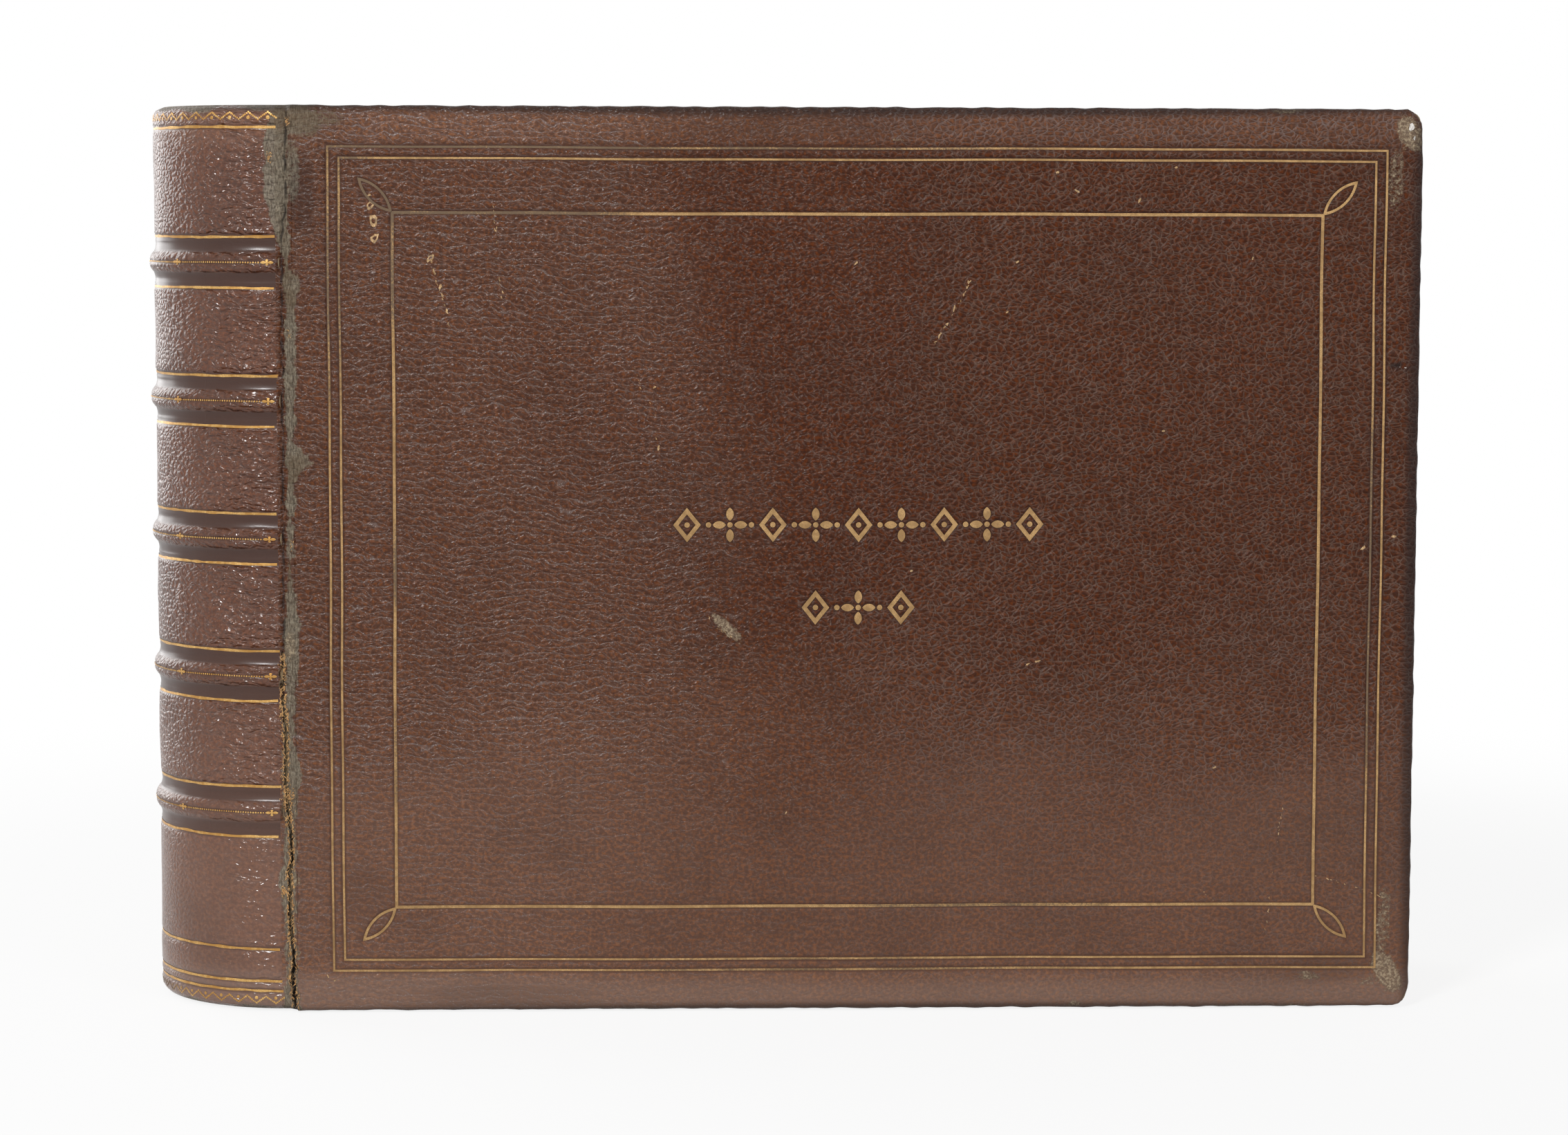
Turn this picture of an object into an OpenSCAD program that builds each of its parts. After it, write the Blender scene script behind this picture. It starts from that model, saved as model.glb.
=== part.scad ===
// Large oblong photo album in full leather, standing upright on its tail edges.
// +Z is up, the front cover faces -Y and the spine is at -X.
// The origin is at the middle of the bottom of the whole album.
// All sizes are in millimetres.

/* [Leaves] */
// Width of a leaf from the shoulder of the back to the fore-edge
leaf_w = 325; // [220:1:420]
// Height of a leaf
leaf_h = 255; // [225:1:340]
// Thickness of all the leaves together
leaves_t = 72; // [60:0.5:84]
// Number of card leaves
leaf_count = 30; // [10:1:36]
// How far the rounded back bulges past its shoulders
back_rise = 24; // [14:1:26]
// Depth of the hollow along the fore-edge
fore_edge_hollow = 6; // [2:0.5:10]
// Width of the slit between the edges of two leaves
slit_w = 0.35; // [0.2:0.05:0.5]
// Depth of the slit between the edges of two leaves
slit_depth = 1; // [0.5:0.1:2]

/* [Covers] */
// Thickness of the board inside a cover
board_t = 3.6; // [2.5:0.1:5]
// Thickness of the leather over the boards
cover_skin_t = 1; // [0.7:0.1:1.5]
// Thickness of the leather where it is turned in over the board
turn_in_t = 0.6; // [0.4:0.1:1]
// Width of the leather turned in on the inside of a cover
turn_in_w = 15; // [10:1:25]
// Width of the turned-in leather that the pastedown leaves bare
bare_turn_in = 6; // [3:0.5:9]
// Thickness of the endpapers
endpaper_t = 0.3; // [0.2:0.05:0.5]
// How far the covers reach past the leaves at head and tail
square_ends = 3.5; // [2:0.5:6]
// How far the covers reach past the leaves at the fore-edge
square_fore = 4; // [2:0.5:7]
// Radius of the two fore-edge corners of a cover
corner_r = 4; // [2.5:0.5:10]
// Radius along the edges of a cover
edge_r = 1.3; // [0.8:0.1:1.8]

/* [Joints] */
// Width of the sunk joint between the round of the spine and the cover
joint_w = 3.2; // [2:0.1:6]
// Running gap between the hinge line and the cover
hinge_gap = 0.3; // [0.2:0.1:0.8]
// Running gap between the joint and the hinge line
joint_gap = 0.15; // [0.1:0.05:0.4]
// Gap between the endpapers when the cover is shut
shut_gap = 0.3; // [0.2:0.1:0.6]

/* [Spine] */
// Thickness of the rolled card inside the spine
spring_t = 2.8; // [2:0.1:3.2]
// Thickness of the leather on the spine
spine_skin_t = 1.2; // [0.9:0.1:1.3]
// Radius along the head and tail edges of the spine
spine_edge_r = 1; // [0.5:0.1:1.1]
// Number of raised bands
band_count = 5; // [3:1:6]
// Distance from the tail to the middle of the lowest band
tail_panel = 58.3; // [40:0.1:70]
// Distance from the head to the middle of the highest band
head_panel = 44.9; // [25:0.1:60]
// How far a band stands out of the spine
band_rise = 1.5; // [0.8:0.1:1.7]
// Width of a raised band
band_w = 6.2; // [4:0.1:8]

/* [Sewing] */
// Number of sewing tapes across the back
tape_count = 4; // [2:1:4]
// Width of a sewing tape
tape_w = 15; // [8:1:20]
// Thickness of a sewing tape
tape_t = 0.6; // [0.4:0.1:1]
// Distance from the ends of the leaves to the outer tapes
tape_end = 30; // [25:1:40]
// Thickness of the cloth lining on the back
lining_t = 0.5; // [0.3:0.1:0.8]
// Radius of the cord inside a head band
head_band_r = 1.4; // [1:0.1:1.6]
// Angle over which the head bands run round the back
head_band_angle = 100; // [60:5:110]

/* [Gilding] */
// Width of a gilt rule
rule_w = 0.7; // [0.4:0.1:1]
// Depth of the tooled grooves
groove_depth = 0.25; // [0.2:0.05:0.4]
// Thickness of the gilt in the grooves
gilt_t = 0.15; // [0.1:0.05:0.2]
// Distance from the sides of the cover to the outer rule
rule_side = 10.2; // [8:0.1:14]
// Distance from the head and tail of the cover to the outer rule
rule_end = 11.5; // [8:0.1:14]
// Distance from the outer rule to the second one
rule_step = 3.2; // [2:0.1:4]
// Distance from the sides of the cover to the inner rule
panel_side = 28.6; // [27:0.1:40]
// Distance from the head and tail of the cover to the inner rule
panel_end = 30.2; // [28:0.1:40]
// Length of a corner loop
loop_l = 14; // [10:0.5:16]
// Width of a corner loop
loop_w = 4.6; // [3:0.2:6]
// Distance from the middle of a band to the rule on either side of it
band_rule = 7.3; // [5.5:0.1:9]
// Width of the line along the crown of a band
crown_line_w = 0.4; // [0.3:0.1:0.6]
// Distance from the head to the rule under the head roll
head_rule = 6.3; // [5.8:0.1:8]
// Distance from the tail to the rule over the tail roll
tail_rule = 5.6; // [5.2:0.1:7]
// Distance between the two rules over the tail roll
tail_rule_step = 3; // [2:0.1:4]
// Distance from the tail to the rule that closes the lowest panel
low_rule = 18; // [13:0.1:24]
// Distance from the end of the spine to the middle of a zigzag roll
roll_end = 3.1; // [2.9:0.1:3.3]
// Height of a zigzag roll
roll_h = 2.6; // [2:0.1:3]
// Length of one zigzag along the roll
roll_step = 5.6; // [4:0.1:8]

/* [Ornament] */
// Height of the ornament's upper row above the middle of the cover
row_rise = 11; // [0:1:50]
// Distance between the two rows
row_drop = 24; // [18:1:40]
// Size of a motif
motif = 10; // [6:0.5:11]
// Distance from one motif to the next
motif_pitch = 12.4; // [11.5:0.1:16]
// Number of motifs in the upper row
upper_motifs = 9; // [3:2:11]
// Number of motifs in the lower row
lower_motifs = 3; // [1:2:7]
// Width of the ornament's lines
motif_line = 1.2; // [0.6:0.1:1.5]
// Diameter of the ornament's dots
motif_dot = 1.6; // [0.8:0.1:1.8]
// Width of a lozenge as a share of its height
lozenge_width = 0.8; // [0.6:0.05:1]
// Length of a petal as a share of a motif
petal_length = 0.38; // [0.3:0.01:0.4]
// Width of a petal as a share of a motif
petal_width = 0.22; // [0.15:0.01:0.3]

/* [Hidden] */
$fn = 96;

leather = [0.27, 0.12, 0.08];
gilt = [0.80, 0.62, 0.32];
card = [0.62, 0.53, 0.40];
paper = [0.90, 0.85, 0.74];
cloth = [0.80, 0.77, 0.68];

// Heights, from the tail edges up
cover_h = leaf_h + 2 * square_ends;
cover_w = leaf_w + square_fore - joint_w - hinge_gap;

// Distances from the middle plane of the leaves
leaves_y = leaves_t / 2;
flyleaf_y = leaves_y + endpaper_t;
cover_y = flyleaf_y + shut_gap;
turn_in_y = cover_y + endpaper_t;
board_y = turn_in_y + turn_in_t;
face_y = board_y + board_t + cover_skin_t;
blank_t = face_y - turn_in_y;

// Radii of the spine, about the line where its round begins
spring_r = flyleaf_y;
card_r = spring_r + spring_t;
spine_r = card_r + spine_skin_t;
crown_r = spine_r + band_rise;

// Places along X
total_w = crown_r + joint_w + hinge_gap + cover_w;
spine_x = crown_r - total_w / 2;
hinge_x = spine_x + joint_w;
cover_x = hinge_x + hinge_gap;
fore_x = cover_x + cover_w;
leaf_x = spine_x + leaf_w;

// The rounded back of the leaves
back_r = (leaves_y * leaves_y + back_rise * back_rise) / (2 * back_rise);
back_x = spine_x - back_rise + back_r;
hollow_r = (leaves_y * leaves_y + fore_edge_hollow * fore_edge_hollow) / (2 * fore_edge_hollow);
// How far the tapes and the lining stay from the shoulders of the back
shoulder_clear = 2;
// How far a cut reaches past what it cuts
cut = 1;

// Raised bands and tapes
band_pitch = (cover_h - tail_panel - head_panel) / (band_count - 1);
band_z = [for (i = [0:band_count - 1]) tail_panel + i * band_pitch];
tape_gap = (leaf_h - 2 * tape_end) / (tape_count - 1);
tape_z = [for (i = [0:tape_count - 1]) square_ends + tape_end + i * tape_gap];
ridge_steps = 5;
// Below 1, the ridge over a band is fuller than a cosine
ridge_power = 0.6;
function ridge(u) = pow(cos(90 * u), ridge_power);
function ridge_line(z, w, r, rise) =
  [for (i = [-ridge_steps:ridge_steps]) [r + rise * ridge(i / ridge_steps), z + i / ridge_steps * w / 2]];

// A half turn about the start of the spine's round, on its -X side
module half_turn() {
  translate([spine_x, 0, 0]) rotate([0, 0, 90]) rotate_extrude(angle = 180) children();
}

// Stands a part up that was drawn lying down: x along the cover, y up it and
// z as the distance from the middle plane of the leaves
module front() {
  rotate([90, 0, 0]) children();
}

module rear() {
  mirror([0, 1, 0]) front() children();
}

module plate(near, far) {
  translate([0, 0, near]) linear_extrude(far - near) children();
}

// A rectangle given by its corners
module area(x0, x1, z0, z1) {
  translate([x0, z0]) square([x1 - x0, z1 - z0]);
}

module ring(outer_r, inner_r) {
  difference() {
    circle(outer_r);
    circle(inner_r);
  }
}

// A pointed oval between two arcs, l long and w wide
module pointed_oval(l, w) {
  r = (l * l + w * w) / (4 * w);
  intersection() {
    translate([0, r - w / 2]) circle(r);
    translate([0, w / 2 - r]) circle(r);
  }
}

// Outline of a cover, drawn in by inset on its three free edges
module cover_outline(x0, inset) {
  x1 = fore_x - inset;
  z1 = cover_h - inset;
  c = corner_r - inset;
  area(x0, x1 - c, inset, z1);
  area(x1 - c, x1, inset + c, z1 - c);
  translate([x1 - c, inset + c]) intersection() {
    circle(c);
    translate([0, -c]) square(c);
  }
  translate([x1 - c, z1 - c]) intersection() {
    circle(c);
    square(c);
  }
}

// Section through a free edge of a cover: w wide and t thick, with both corners rounded to r
module edge_section(w, t, r) {
  square([w - r, t]);
  translate([w - r, r]) square([r, t - 2 * r]);
  translate([w - r, r]) intersection() {
    circle(r);
    translate([0, -r]) square(r);
  }
  translate([w - r, t - r]) intersection() {
    circle(r);
    square(r);
  }
}

// The whole body of a cover, lying down, with rounded edges and fore-edge corners
module cover_blank() {
  x1 = fore_x - corner_r;
  z1 = cover_h - corner_r;
  translate([0, 0, turn_in_y]) {
    linear_extrude(blank_t) area(cover_x, x1, corner_r, z1);
    translate([x1, z1, 0]) rotate([90, 0, 0])
      linear_extrude(z1 - corner_r) edge_section(corner_r, blank_t, edge_r);
    translate([cover_x, z1, 0]) rotate([90, 0, 90])
      linear_extrude(x1 - cover_x) edge_section(corner_r, blank_t, edge_r);
    translate([cover_x, corner_r, 0]) mirror([0, 1, 0]) rotate([90, 0, 90])
      linear_extrude(x1 - cover_x) edge_section(corner_r, blank_t, edge_r);
    translate([x1, z1, 0]) rotate_extrude(angle = 90) edge_section(corner_r, blank_t, edge_r);
    translate([x1, corner_r, 0]) mirror([0, 1, 0])
      rotate_extrude(angle = 90) edge_section(corner_r, blank_t, edge_r);
  }
}

module cover_board() {
  color(card) plate(board_y, board_y + board_t) cover_outline(cover_x + endpaper_t, cover_skin_t);
}

// The space between the turned-in edges, which the pastedown fills
module infill_area(x0) {
  area(x0, fore_x - turn_in_w, turn_in_w, cover_h - turn_in_w);
}

module joint_flap(x0, x1) {
  plate(turn_in_y, board_y + board_t) area(x0, x1, bare_turn_in, cover_h - bare_turn_in);
}

module cover_skin() {
  color(leather) difference() {
    cover_blank();
    plate(board_y, board_y + board_t) cover_outline(cover_x + endpaper_t, cover_skin_t);
    plate(turn_in_y - cut, board_y) infill_area(cover_x - cut);
    joint_flap(cover_x - cut, cover_x + endpaper_t);
    plate(turn_in_y - cut, turn_in_y) area(cover_x - cut, fore_x, 0, cover_h);
    children();
  }
}

module pastedown() {
  color(paper) {
    plate(turn_in_y, board_y) infill_area(cover_x + endpaper_t);
    plate(cover_y, turn_in_y)
      area(cover_x, fore_x - bare_turn_in, bare_turn_in, cover_h - bare_turn_in);
    joint_flap(cover_x, cover_x + endpaper_t);
  }
}

// A gilt frame of one rule, its outer edge at these distances from the cover's sides and ends
module rule_frame(side, end) {
  difference() {
    area(cover_x + side, fore_x - side, end, cover_h - end);
    area(cover_x + side + rule_w, fore_x - side - rule_w, end + rule_w, cover_h - end - rule_w);
  }
}

module corner_loop() {
  translate([loop_l / 2, 0]) difference() {
    pointed_oval(loop_l, loop_w);
    pointed_oval(loop_l - 4 * rule_w, loop_w - 2 * rule_w);
  }
}

module rules() {
  corner_x = [cover_x + panel_side + rule_w / 2, fore_x - panel_side - rule_w / 2];
  corner_z = [panel_end + rule_w / 2, cover_h - panel_end - rule_w / 2];
  rule_frame(rule_side, rule_end);
  rule_frame(rule_side + rule_step, rule_end + rule_step);
  rule_frame(panel_side, panel_end);
  for (i = [0, 1], k = [0, 1])
    translate([corner_x[i], corner_z[k]])
      mirror([1 - i, 0]) mirror([0, 1 - k]) rotate(45) corner_loop();
}

module rhombus(h, w) {
  polygon([[0, h], [w, 0], [0, -h], [-w, 0]]);
}

// A lozenge drawn with an even line, and a dot in its middle
module lozenge() {
  h = motif / 2;
  w = h * lozenge_width;
  inner = 1 - motif_line * norm([h, w]) / (h * w);
  difference() {
    rhombus(h, w);
    rhombus(inner * h, inner * w);
  }
  circle(motif_dot / 2);
}

module four_petals() {
  petal_l = motif * petal_length;
  circle(motif_dot / 2);
  for (a = [0:90:270])
    rotate(a) translate([(motif - petal_l) / 2, 0]) pointed_oval(petal_l, motif * petal_width);
}

// A row of lozenges and four-petalled flowers by turns, with a dot between each two
module motif_row(count) {
  for (i = [0:count - 1])
    translate([(i - (count - 1) / 2) * motif_pitch, 0]) {
      if (i % 2 == 0) lozenge();
      else four_petals();
    }
  for (i = [0:count - 2])
    translate([(i - (count - 2) / 2) * motif_pitch, 0]) circle(motif_dot / 2);
}

module ornament() {
  middle_x = (cover_x + fore_x) / 2;
  upper_z = cover_h / 2 + row_rise;
  translate([middle_x, upper_z]) motif_row(upper_motifs);
  translate([middle_x, upper_z - row_drop]) motif_row(lower_motifs);
}

module in_groove() {
  plate(face_y - groove_depth, face_y - groove_depth + gilt_t) children();
}

module groove() {
  plate(face_y - groove_depth, face_y + cut) children();
}

module front_board() {
  front() cover_board();
}

module front_cover_leather() {
  front() cover_skin() {
    groove() rules();
    groove() ornament();
  }
}

module front_pastedown() {
  front() pastedown();
}

module front_gilding() {
  color(gilt) front() in_groove() rules();
}

module front_ornament() {
  color(gilt) front() in_groove() ornament();
}

module rear_board() {
  rear() cover_board();
}

module rear_cover_leather() {
  rear() cover_skin();
}

module rear_pastedown() {
  rear() pastedown();
}

// The hollow of the fore-edge, sunk by depth into the leaves
module fore_hollow(depth) {
  translate([leaf_x - depth + hollow_r - fore_edge_hollow, 0]) circle(hollow_r);
}

// The leaves seen from above: rounded at the back and hollow at the fore-edge
module leaves_outline() {
  difference() {
    translate([spine_x, -leaves_y]) square([leaf_w, leaves_t]);
    fore_hollow(0);
  }
  intersection() {
    translate([back_x, 0]) circle(back_r);
    translate([spine_x - back_rise - cut, -leaves_y]) square([back_rise + cut, leaves_t]);
  }
}

// The middle of the leaves, which the slits between them leave whole
module leaves_core() {
  difference() {
    translate([spine_x - back_rise - 2 * cut, -leaves_y - cut])
      square([leaf_w + back_rise + 2 * cut - slit_depth, leaves_t + 2 * cut]);
    fore_hollow(slit_depth);
  }
}

// A band round the back of the leaves, between two radii about the back's own centre
module back_band(inner_r, outer_r, z0, z1) {
  translate([0, 0, z0]) linear_extrude(z1 - z0) intersection() {
    translate([back_x, 0]) ring(outer_r, inner_r);
    translate([spine_x - back_rise - 2 * cut, -leaves_y])
      square([back_rise + 2 * cut - shoulder_clear, leaves_t]);
  }
}

module tape(i) {
  color(cloth) back_band(back_r - tape_t, back_r, tape_z[i] - tape_w / 2, tape_z[i] + tape_w / 2);
}

module leaf_slits() {
  leaf_t = leaves_t / leaf_count;
  difference() {
    for (i = [1:leaf_count - 1])
      translate([spine_x - back_rise - cut, i * leaf_t - leaves_y - slit_w / 2, square_ends - cut])
        cube([leaf_w + back_rise + 2 * cut, slit_w, leaf_h + 2 * cut]);
    translate([0, 0, square_ends + slit_depth])
      linear_extrude(leaf_h - 2 * slit_depth) leaves_core();
  }
}

module page_block() {
  color(paper) difference() {
    translate([0, 0, square_ends]) linear_extrude(leaf_h) leaves_outline();
    leaf_slits();
    for (i = [0:tape_count - 1])
      back_band(back_r - tape_t, back_r + cut, tape_z[i] - tape_w / 2, tape_z[i] + tape_w / 2);
  }
}

module flyleaf() {
  flap_x = hinge_x - joint_gap - endpaper_t;
  color(paper) {
    plate(leaves_y, flyleaf_y) area(spine_x, leaf_x, square_ends, cover_h - square_ends);
    plate(flyleaf_y, card_r) area(flap_x, flap_x + endpaper_t, square_ends, cover_h - square_ends);
  }
}

module front_flyleaf() {
  front() flyleaf();
}

module rear_flyleaf() {
  rear() flyleaf();
}

module spine_lining() {
  color(cloth)
    back_band(back_r, back_r + lining_t, square_ends + bare_turn_in, cover_h - square_ends - bare_turn_in);
}

// A cord wound with silk along the back edge of the leaves
module end_band(z) {
  color(cloth) translate([back_x, 0, z]) rotate([0, 0, 180 - head_band_angle / 2])
    rotate_extrude(angle = head_band_angle) translate([back_r - head_band_r, 0]) circle(head_band_r);
}

module head_band() {
  end_band(cover_h - square_ends + head_band_r);
}

module tail_band() {
  end_band(square_ends - head_band_r);
}

// A section of the spine, given by distance and height, carried from joint to joint:
// child 0 is turned round the spine and child 1 runs straight along both joints to x = end
module joint_to_joint(end) {
  half_turn() children(0);
  translate([spine_x, 0, 0]) rotate([90, 0, 90]) linear_extrude(end - spine_x) children(1);
  mirror([0, 1, 0])
    translate([spine_x, 0, 0]) rotate([90, 0, 90]) linear_extrude(end - spine_x) children(1);
}

module spring_section() {
  translate([spring_r, spine_skin_t]) square([spring_t, cover_h - 2 * spine_skin_t]);
}

module spring_back() {
  color(card) joint_to_joint(hinge_x - joint_gap - endpaper_t) {
    spring_section();
    spring_section();
  }
}

// Section of a raised band's core on the card, or of the leather's ridge over it
function core_line(i) = ridge_line(band_z[i], band_w - spine_skin_t, card_r, band_rise);
function over_line(i) = ridge_line(band_z[i], band_w, spine_r, band_rise);
function joined(lists) = [for (l = lists) for (p = l) p];
function backwards(l) = [for (i = [len(l) - 1:-1:0]) l[i]];

module raised_band(i) {
  color(card) half_turn() polygon(core_line(i));
}

// Section of the spine's leather, turned in over the card at both ends
module skin_section(over, under) {
  e = spine_edge_r;
  tail_round = [for (a = [0:30:90]) [spine_r - e + e * sin(a), e - e * cos(a)]];
  head_round = [for (a = [90:-30:0]) [spine_r - e + e * sin(a), cover_h - e + e * cos(a)]];
  polygon(concat(
    [[spring_r, 0]], tail_round, over, head_round,
    [[spring_r, cover_h], [spring_r, cover_h - spine_skin_t], [card_r, cover_h - spine_skin_t]],
    backwards(under),
    [[card_r, spine_skin_t], [spring_r, spine_skin_t]]));
}

spine_rules = concat([cover_h - head_rule, tail_rule, tail_rule + tail_rule_step, low_rule],
  [for (z = band_z) z - band_rule], [for (z = band_z) z + band_rule]);
roll_z = [roll_end, cover_h - roll_end];

// A gilt line round the spine, with its face sunk by depth below the radius r
module line_section(r, z, w, depth, t) {
  translate([r - depth, z - w / 2]) square([t, w]);
}

module spine_lines(t) {
  for (z = spine_rules) half_turn() line_section(spine_r, z, rule_w, groove_depth, t);
  for (z = band_z) half_turn() line_section(crown_r, z, crown_line_w, groove_depth, t);
}

module spine_leather() {
  color(leather) difference() {
    joint_to_joint(hinge_x - joint_gap) {
      skin_section(joined([for (i = [0:band_count - 1]) over_line(i)]),
                   joined([for (i = [0:band_count - 1]) core_line(i)]));
      skin_section([], []);
    }
    spine_lines(groove_depth + cut);
    for (z = roll_z) half_turn() line_section(spine_r, z, roll_h + rule_w, groove_depth, groove_depth + cut);
  }
}

// A zigzag bent round the spine at height z; side 1 or -1 turns its bends up or down
module zigzag_roll(z, side) {
  count = floor(PI * spine_r / roll_step);
  turn = 180 / count;
  half_step = roll_step / 2;
  lean = atan2(half_step, roll_h - rule_w);
  intersection() {
    half_turn() line_section(spine_r, z, roll_h, groove_depth, gilt_t);
    translate([spine_x, 0, z]) for (i = [0:count - 1], k = [0, 1])
      rotate([0, 0, 90 + (i + 0.25 + k / 2) * turn]) translate([spine_r, 0, 0])
        rotate([(k == 0 ? 1 : -1) * lean * side, 0, 0])
          cube([2 * (groove_depth + cut), rule_w, norm([half_step, roll_h])], center = true);
  }
}

module spine_gilding() {
  color(gilt) {
    spine_lines(gilt_t);
    zigzag_roll(roll_z[0], -1);
    zigzag_roll(roll_z[1], 1);
  }
}

page_block();
front_flyleaf();
rear_flyleaf();
spine_lining();
head_band();
tail_band();
for (i = [0:tape_count - 1]) tape(i);
spring_back();
for (i = [0:band_count - 1]) raised_band(i);
spine_leather();
spine_gilding();
front_board();
front_cover_leather();
front_pastedown();
front_gilding();
front_ornament();
rear_board();
rear_cover_leather();
rear_pastedown();
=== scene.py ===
"""A large oblong photo album in grained red-brown leather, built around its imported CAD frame.

Sizes are in millimetres until a mesh is made. The leather is one sheet that wraps the album:
u runs along the surface, 0 at the front cover's spine edge and positive over the front cover,
v is the height above the tail edges, and out is the distance that a point stands proud.
"""

import math

import bpy
import numpy as np
from mathutils import Matrix, Vector


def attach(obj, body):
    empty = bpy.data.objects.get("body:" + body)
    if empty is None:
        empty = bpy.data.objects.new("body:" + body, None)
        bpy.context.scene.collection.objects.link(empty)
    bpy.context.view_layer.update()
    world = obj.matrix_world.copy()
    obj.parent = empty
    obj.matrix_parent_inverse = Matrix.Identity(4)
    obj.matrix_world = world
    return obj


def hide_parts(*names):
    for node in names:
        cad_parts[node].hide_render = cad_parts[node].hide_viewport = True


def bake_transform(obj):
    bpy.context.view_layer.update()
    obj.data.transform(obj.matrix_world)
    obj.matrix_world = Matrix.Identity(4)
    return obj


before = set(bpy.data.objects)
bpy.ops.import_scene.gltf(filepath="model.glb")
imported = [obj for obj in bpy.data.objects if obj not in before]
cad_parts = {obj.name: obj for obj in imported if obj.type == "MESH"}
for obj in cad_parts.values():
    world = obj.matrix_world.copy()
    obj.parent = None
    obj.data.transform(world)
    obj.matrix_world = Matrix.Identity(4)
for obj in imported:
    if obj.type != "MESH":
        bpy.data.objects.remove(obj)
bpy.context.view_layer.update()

MM = 0.001

# Sizes of the CAD source
HEIGHT = 262.0
COVER_X = -140.1
FORE_X = 185.4
COVER_W = FORE_X - COVER_X
FACE_Y = 42.1
INNER_Y = 36.9
COVER_T = FACE_Y - INNER_Y
EDGE_R = 1.3
SPINE_X = -143.6
SPINE_R = 40.3
SPRING_R = 36.3
SPINE_SKIN_T = 1.2
LEAF_X = 181.4
LEAVES_Y = 36.0
LEAF_COUNT = 30
LEAF_TAIL = 3.5
LEAF_HEAD = 258.5
BACK_X = -128.6
BACK_R = 39.0
HOLLOW_R = 111.0
FORE_HOLLOW = 6.0
TAPE_T = 0.6
HEAD_BAND_R = 1.4
HEAD_BAND_ANGLE = math.radians(100)

# Worn rounder than in the CAD source
CORNER_R = 5.6
SPINE_EDGE_R = 3.0

# Tooling of the CAD source
RULE_W = 0.7
GROOVE_DEPTH = 0.25
GILT_LIFT = 0.08
FRAMES = ((10.2, 11.5), (13.4, 14.7), (28.6, 30.2))
LOOP_L = 14.0
LOOP_W = 4.6
LOOP_HOLE = (LOOP_L - 4 * RULE_W, LOOP_W - 2 * RULE_W)
BANDS = [58.3 + 39.7 * i for i in range(5)]
BAND_W = 6.2
BAND_RISE = 1.5
BAND_RULE = 7.3
CROWN_LINE_W = 0.4
SPINE_RULES = [5.6, 8.6, 18.0, HEIGHT - 6.3]
SPINE_RULES += [z - BAND_RULE for z in BANDS] + [z + BAND_RULE for z in BANDS]
ROLLS = ((3.1, -1), (HEIGHT - 3.1, 1))
ROLL_H = 2.6
ROLL_STEP = 5.6
NO_TOOLING = 50.0
MOTIF = 10.0
MOTIF_PITCH = 12.4
MOTIF_LINE = 1.2
MOTIF_DOT = 1.6
LOZENGE_WIDTH = 0.8
PETAL_L = 0.38 * MOTIF
PETAL_W = 0.22 * MOTIF
MOTIF_ROWS = ((142.0, 9), (118.0, 3))

# The sheet's places along u
JOINT_U = SPINE_X - COVER_X
ARC_L = math.pi * SPINE_R
REAR_JOINT_U = JOINT_U - ARC_L
REAR_COVER_U = REAR_JOINT_U + JOINT_U
STRIP_SPINE_U = -4.6
STRIP_COVER_U = 2.2


# Numbers

def smooth(x, low, high):
    """0 below low, 1 above high and a smooth step between."""
    t = np.clip((x - low) / (high - low), 0.0, 1.0)
    return t * t * (3.0 - 2.0 * t)


def fall(x, low, high):
    """1 below low, 0 above high and a smooth step between."""
    return 1.0 - smooth(x, low, high)


def from_end(v):
    """Distance to the nearer end of the album, its tail or its head."""
    return np.minimum(v, HEIGHT - v)


def from_corner(u, v):
    """Distance to the nearer fore-edge corner of a cover."""
    return np.hypot(COVER_W - u, from_end(v))


def at_height(table, v, column):
    """A column of a table of heights, read between its rows."""
    return np.interp(v, table[:, 0], table[:, column])


def waves(x, y, length, seed, count=7):
    """Smooth noise of about -1 to 1: waves of about one length, in random directions."""
    rng = np.random.RandomState(seed)
    total = 0.0
    for _ in range(count):
        angle = rng.uniform(0.0, math.tau)
        k = math.tau / (length * rng.uniform(0.6, 1.5))
        phase = rng.uniform(0.0, math.tau)
        total = total + np.sin(k * (x * math.cos(angle) + y * math.sin(angle)) + phase)
    return total / math.sqrt(count)


def ripple(x, length, seed):
    """The same noise along one direction alone."""
    return waves(x, 0.0 * x, length, seed)


def grid_lines(low, high, step, fine=(), beside=(), offsets=()):
    """Grid coordinates: step apart, closer in the fine zones (low, high, step), with exact lines at
    these offsets beside some places."""
    exact = [p + o for p in beside for o in offsets if low < p + o < high]
    kept = []
    x = low
    while x < high - 0.3 * step:
        if all(abs(x - e) > 0.25 for e in exact) or x == low:
            kept.append(x)
        steps = [s for a, b, s in fine if a <= x < b]
        x += min(steps, default=step)
    return np.array(sorted(kept + exact + [high]))


def grid_faces(rows, columns, flip=False):
    """Quads over a grid whose points are stored row by row."""
    start = np.arange(rows - 1)[:, None] * columns + np.arange(columns - 1)
    quads = np.stack([start, start + 1, start + columns + 1, start + columns], -1).reshape(-1, 4)
    return quads[:, ::-1] if flip else quads


def closed_tube(start, rings, count):
    """Faces round rings of equally many points, with a cap at each end."""
    faces = []
    for ring in range(rings - 1):
        a = start + ring * count
        for i in range(count):
            j = (i + 1) % count
            faces.append([a + i, a + j, a + count + j, a + count + i])
    faces.append([start + i for i in reversed(range(count))])
    faces.append([start + (rings - 1) * count + i for i in range(count)])
    return [face[::-1] for face in faces]


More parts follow.
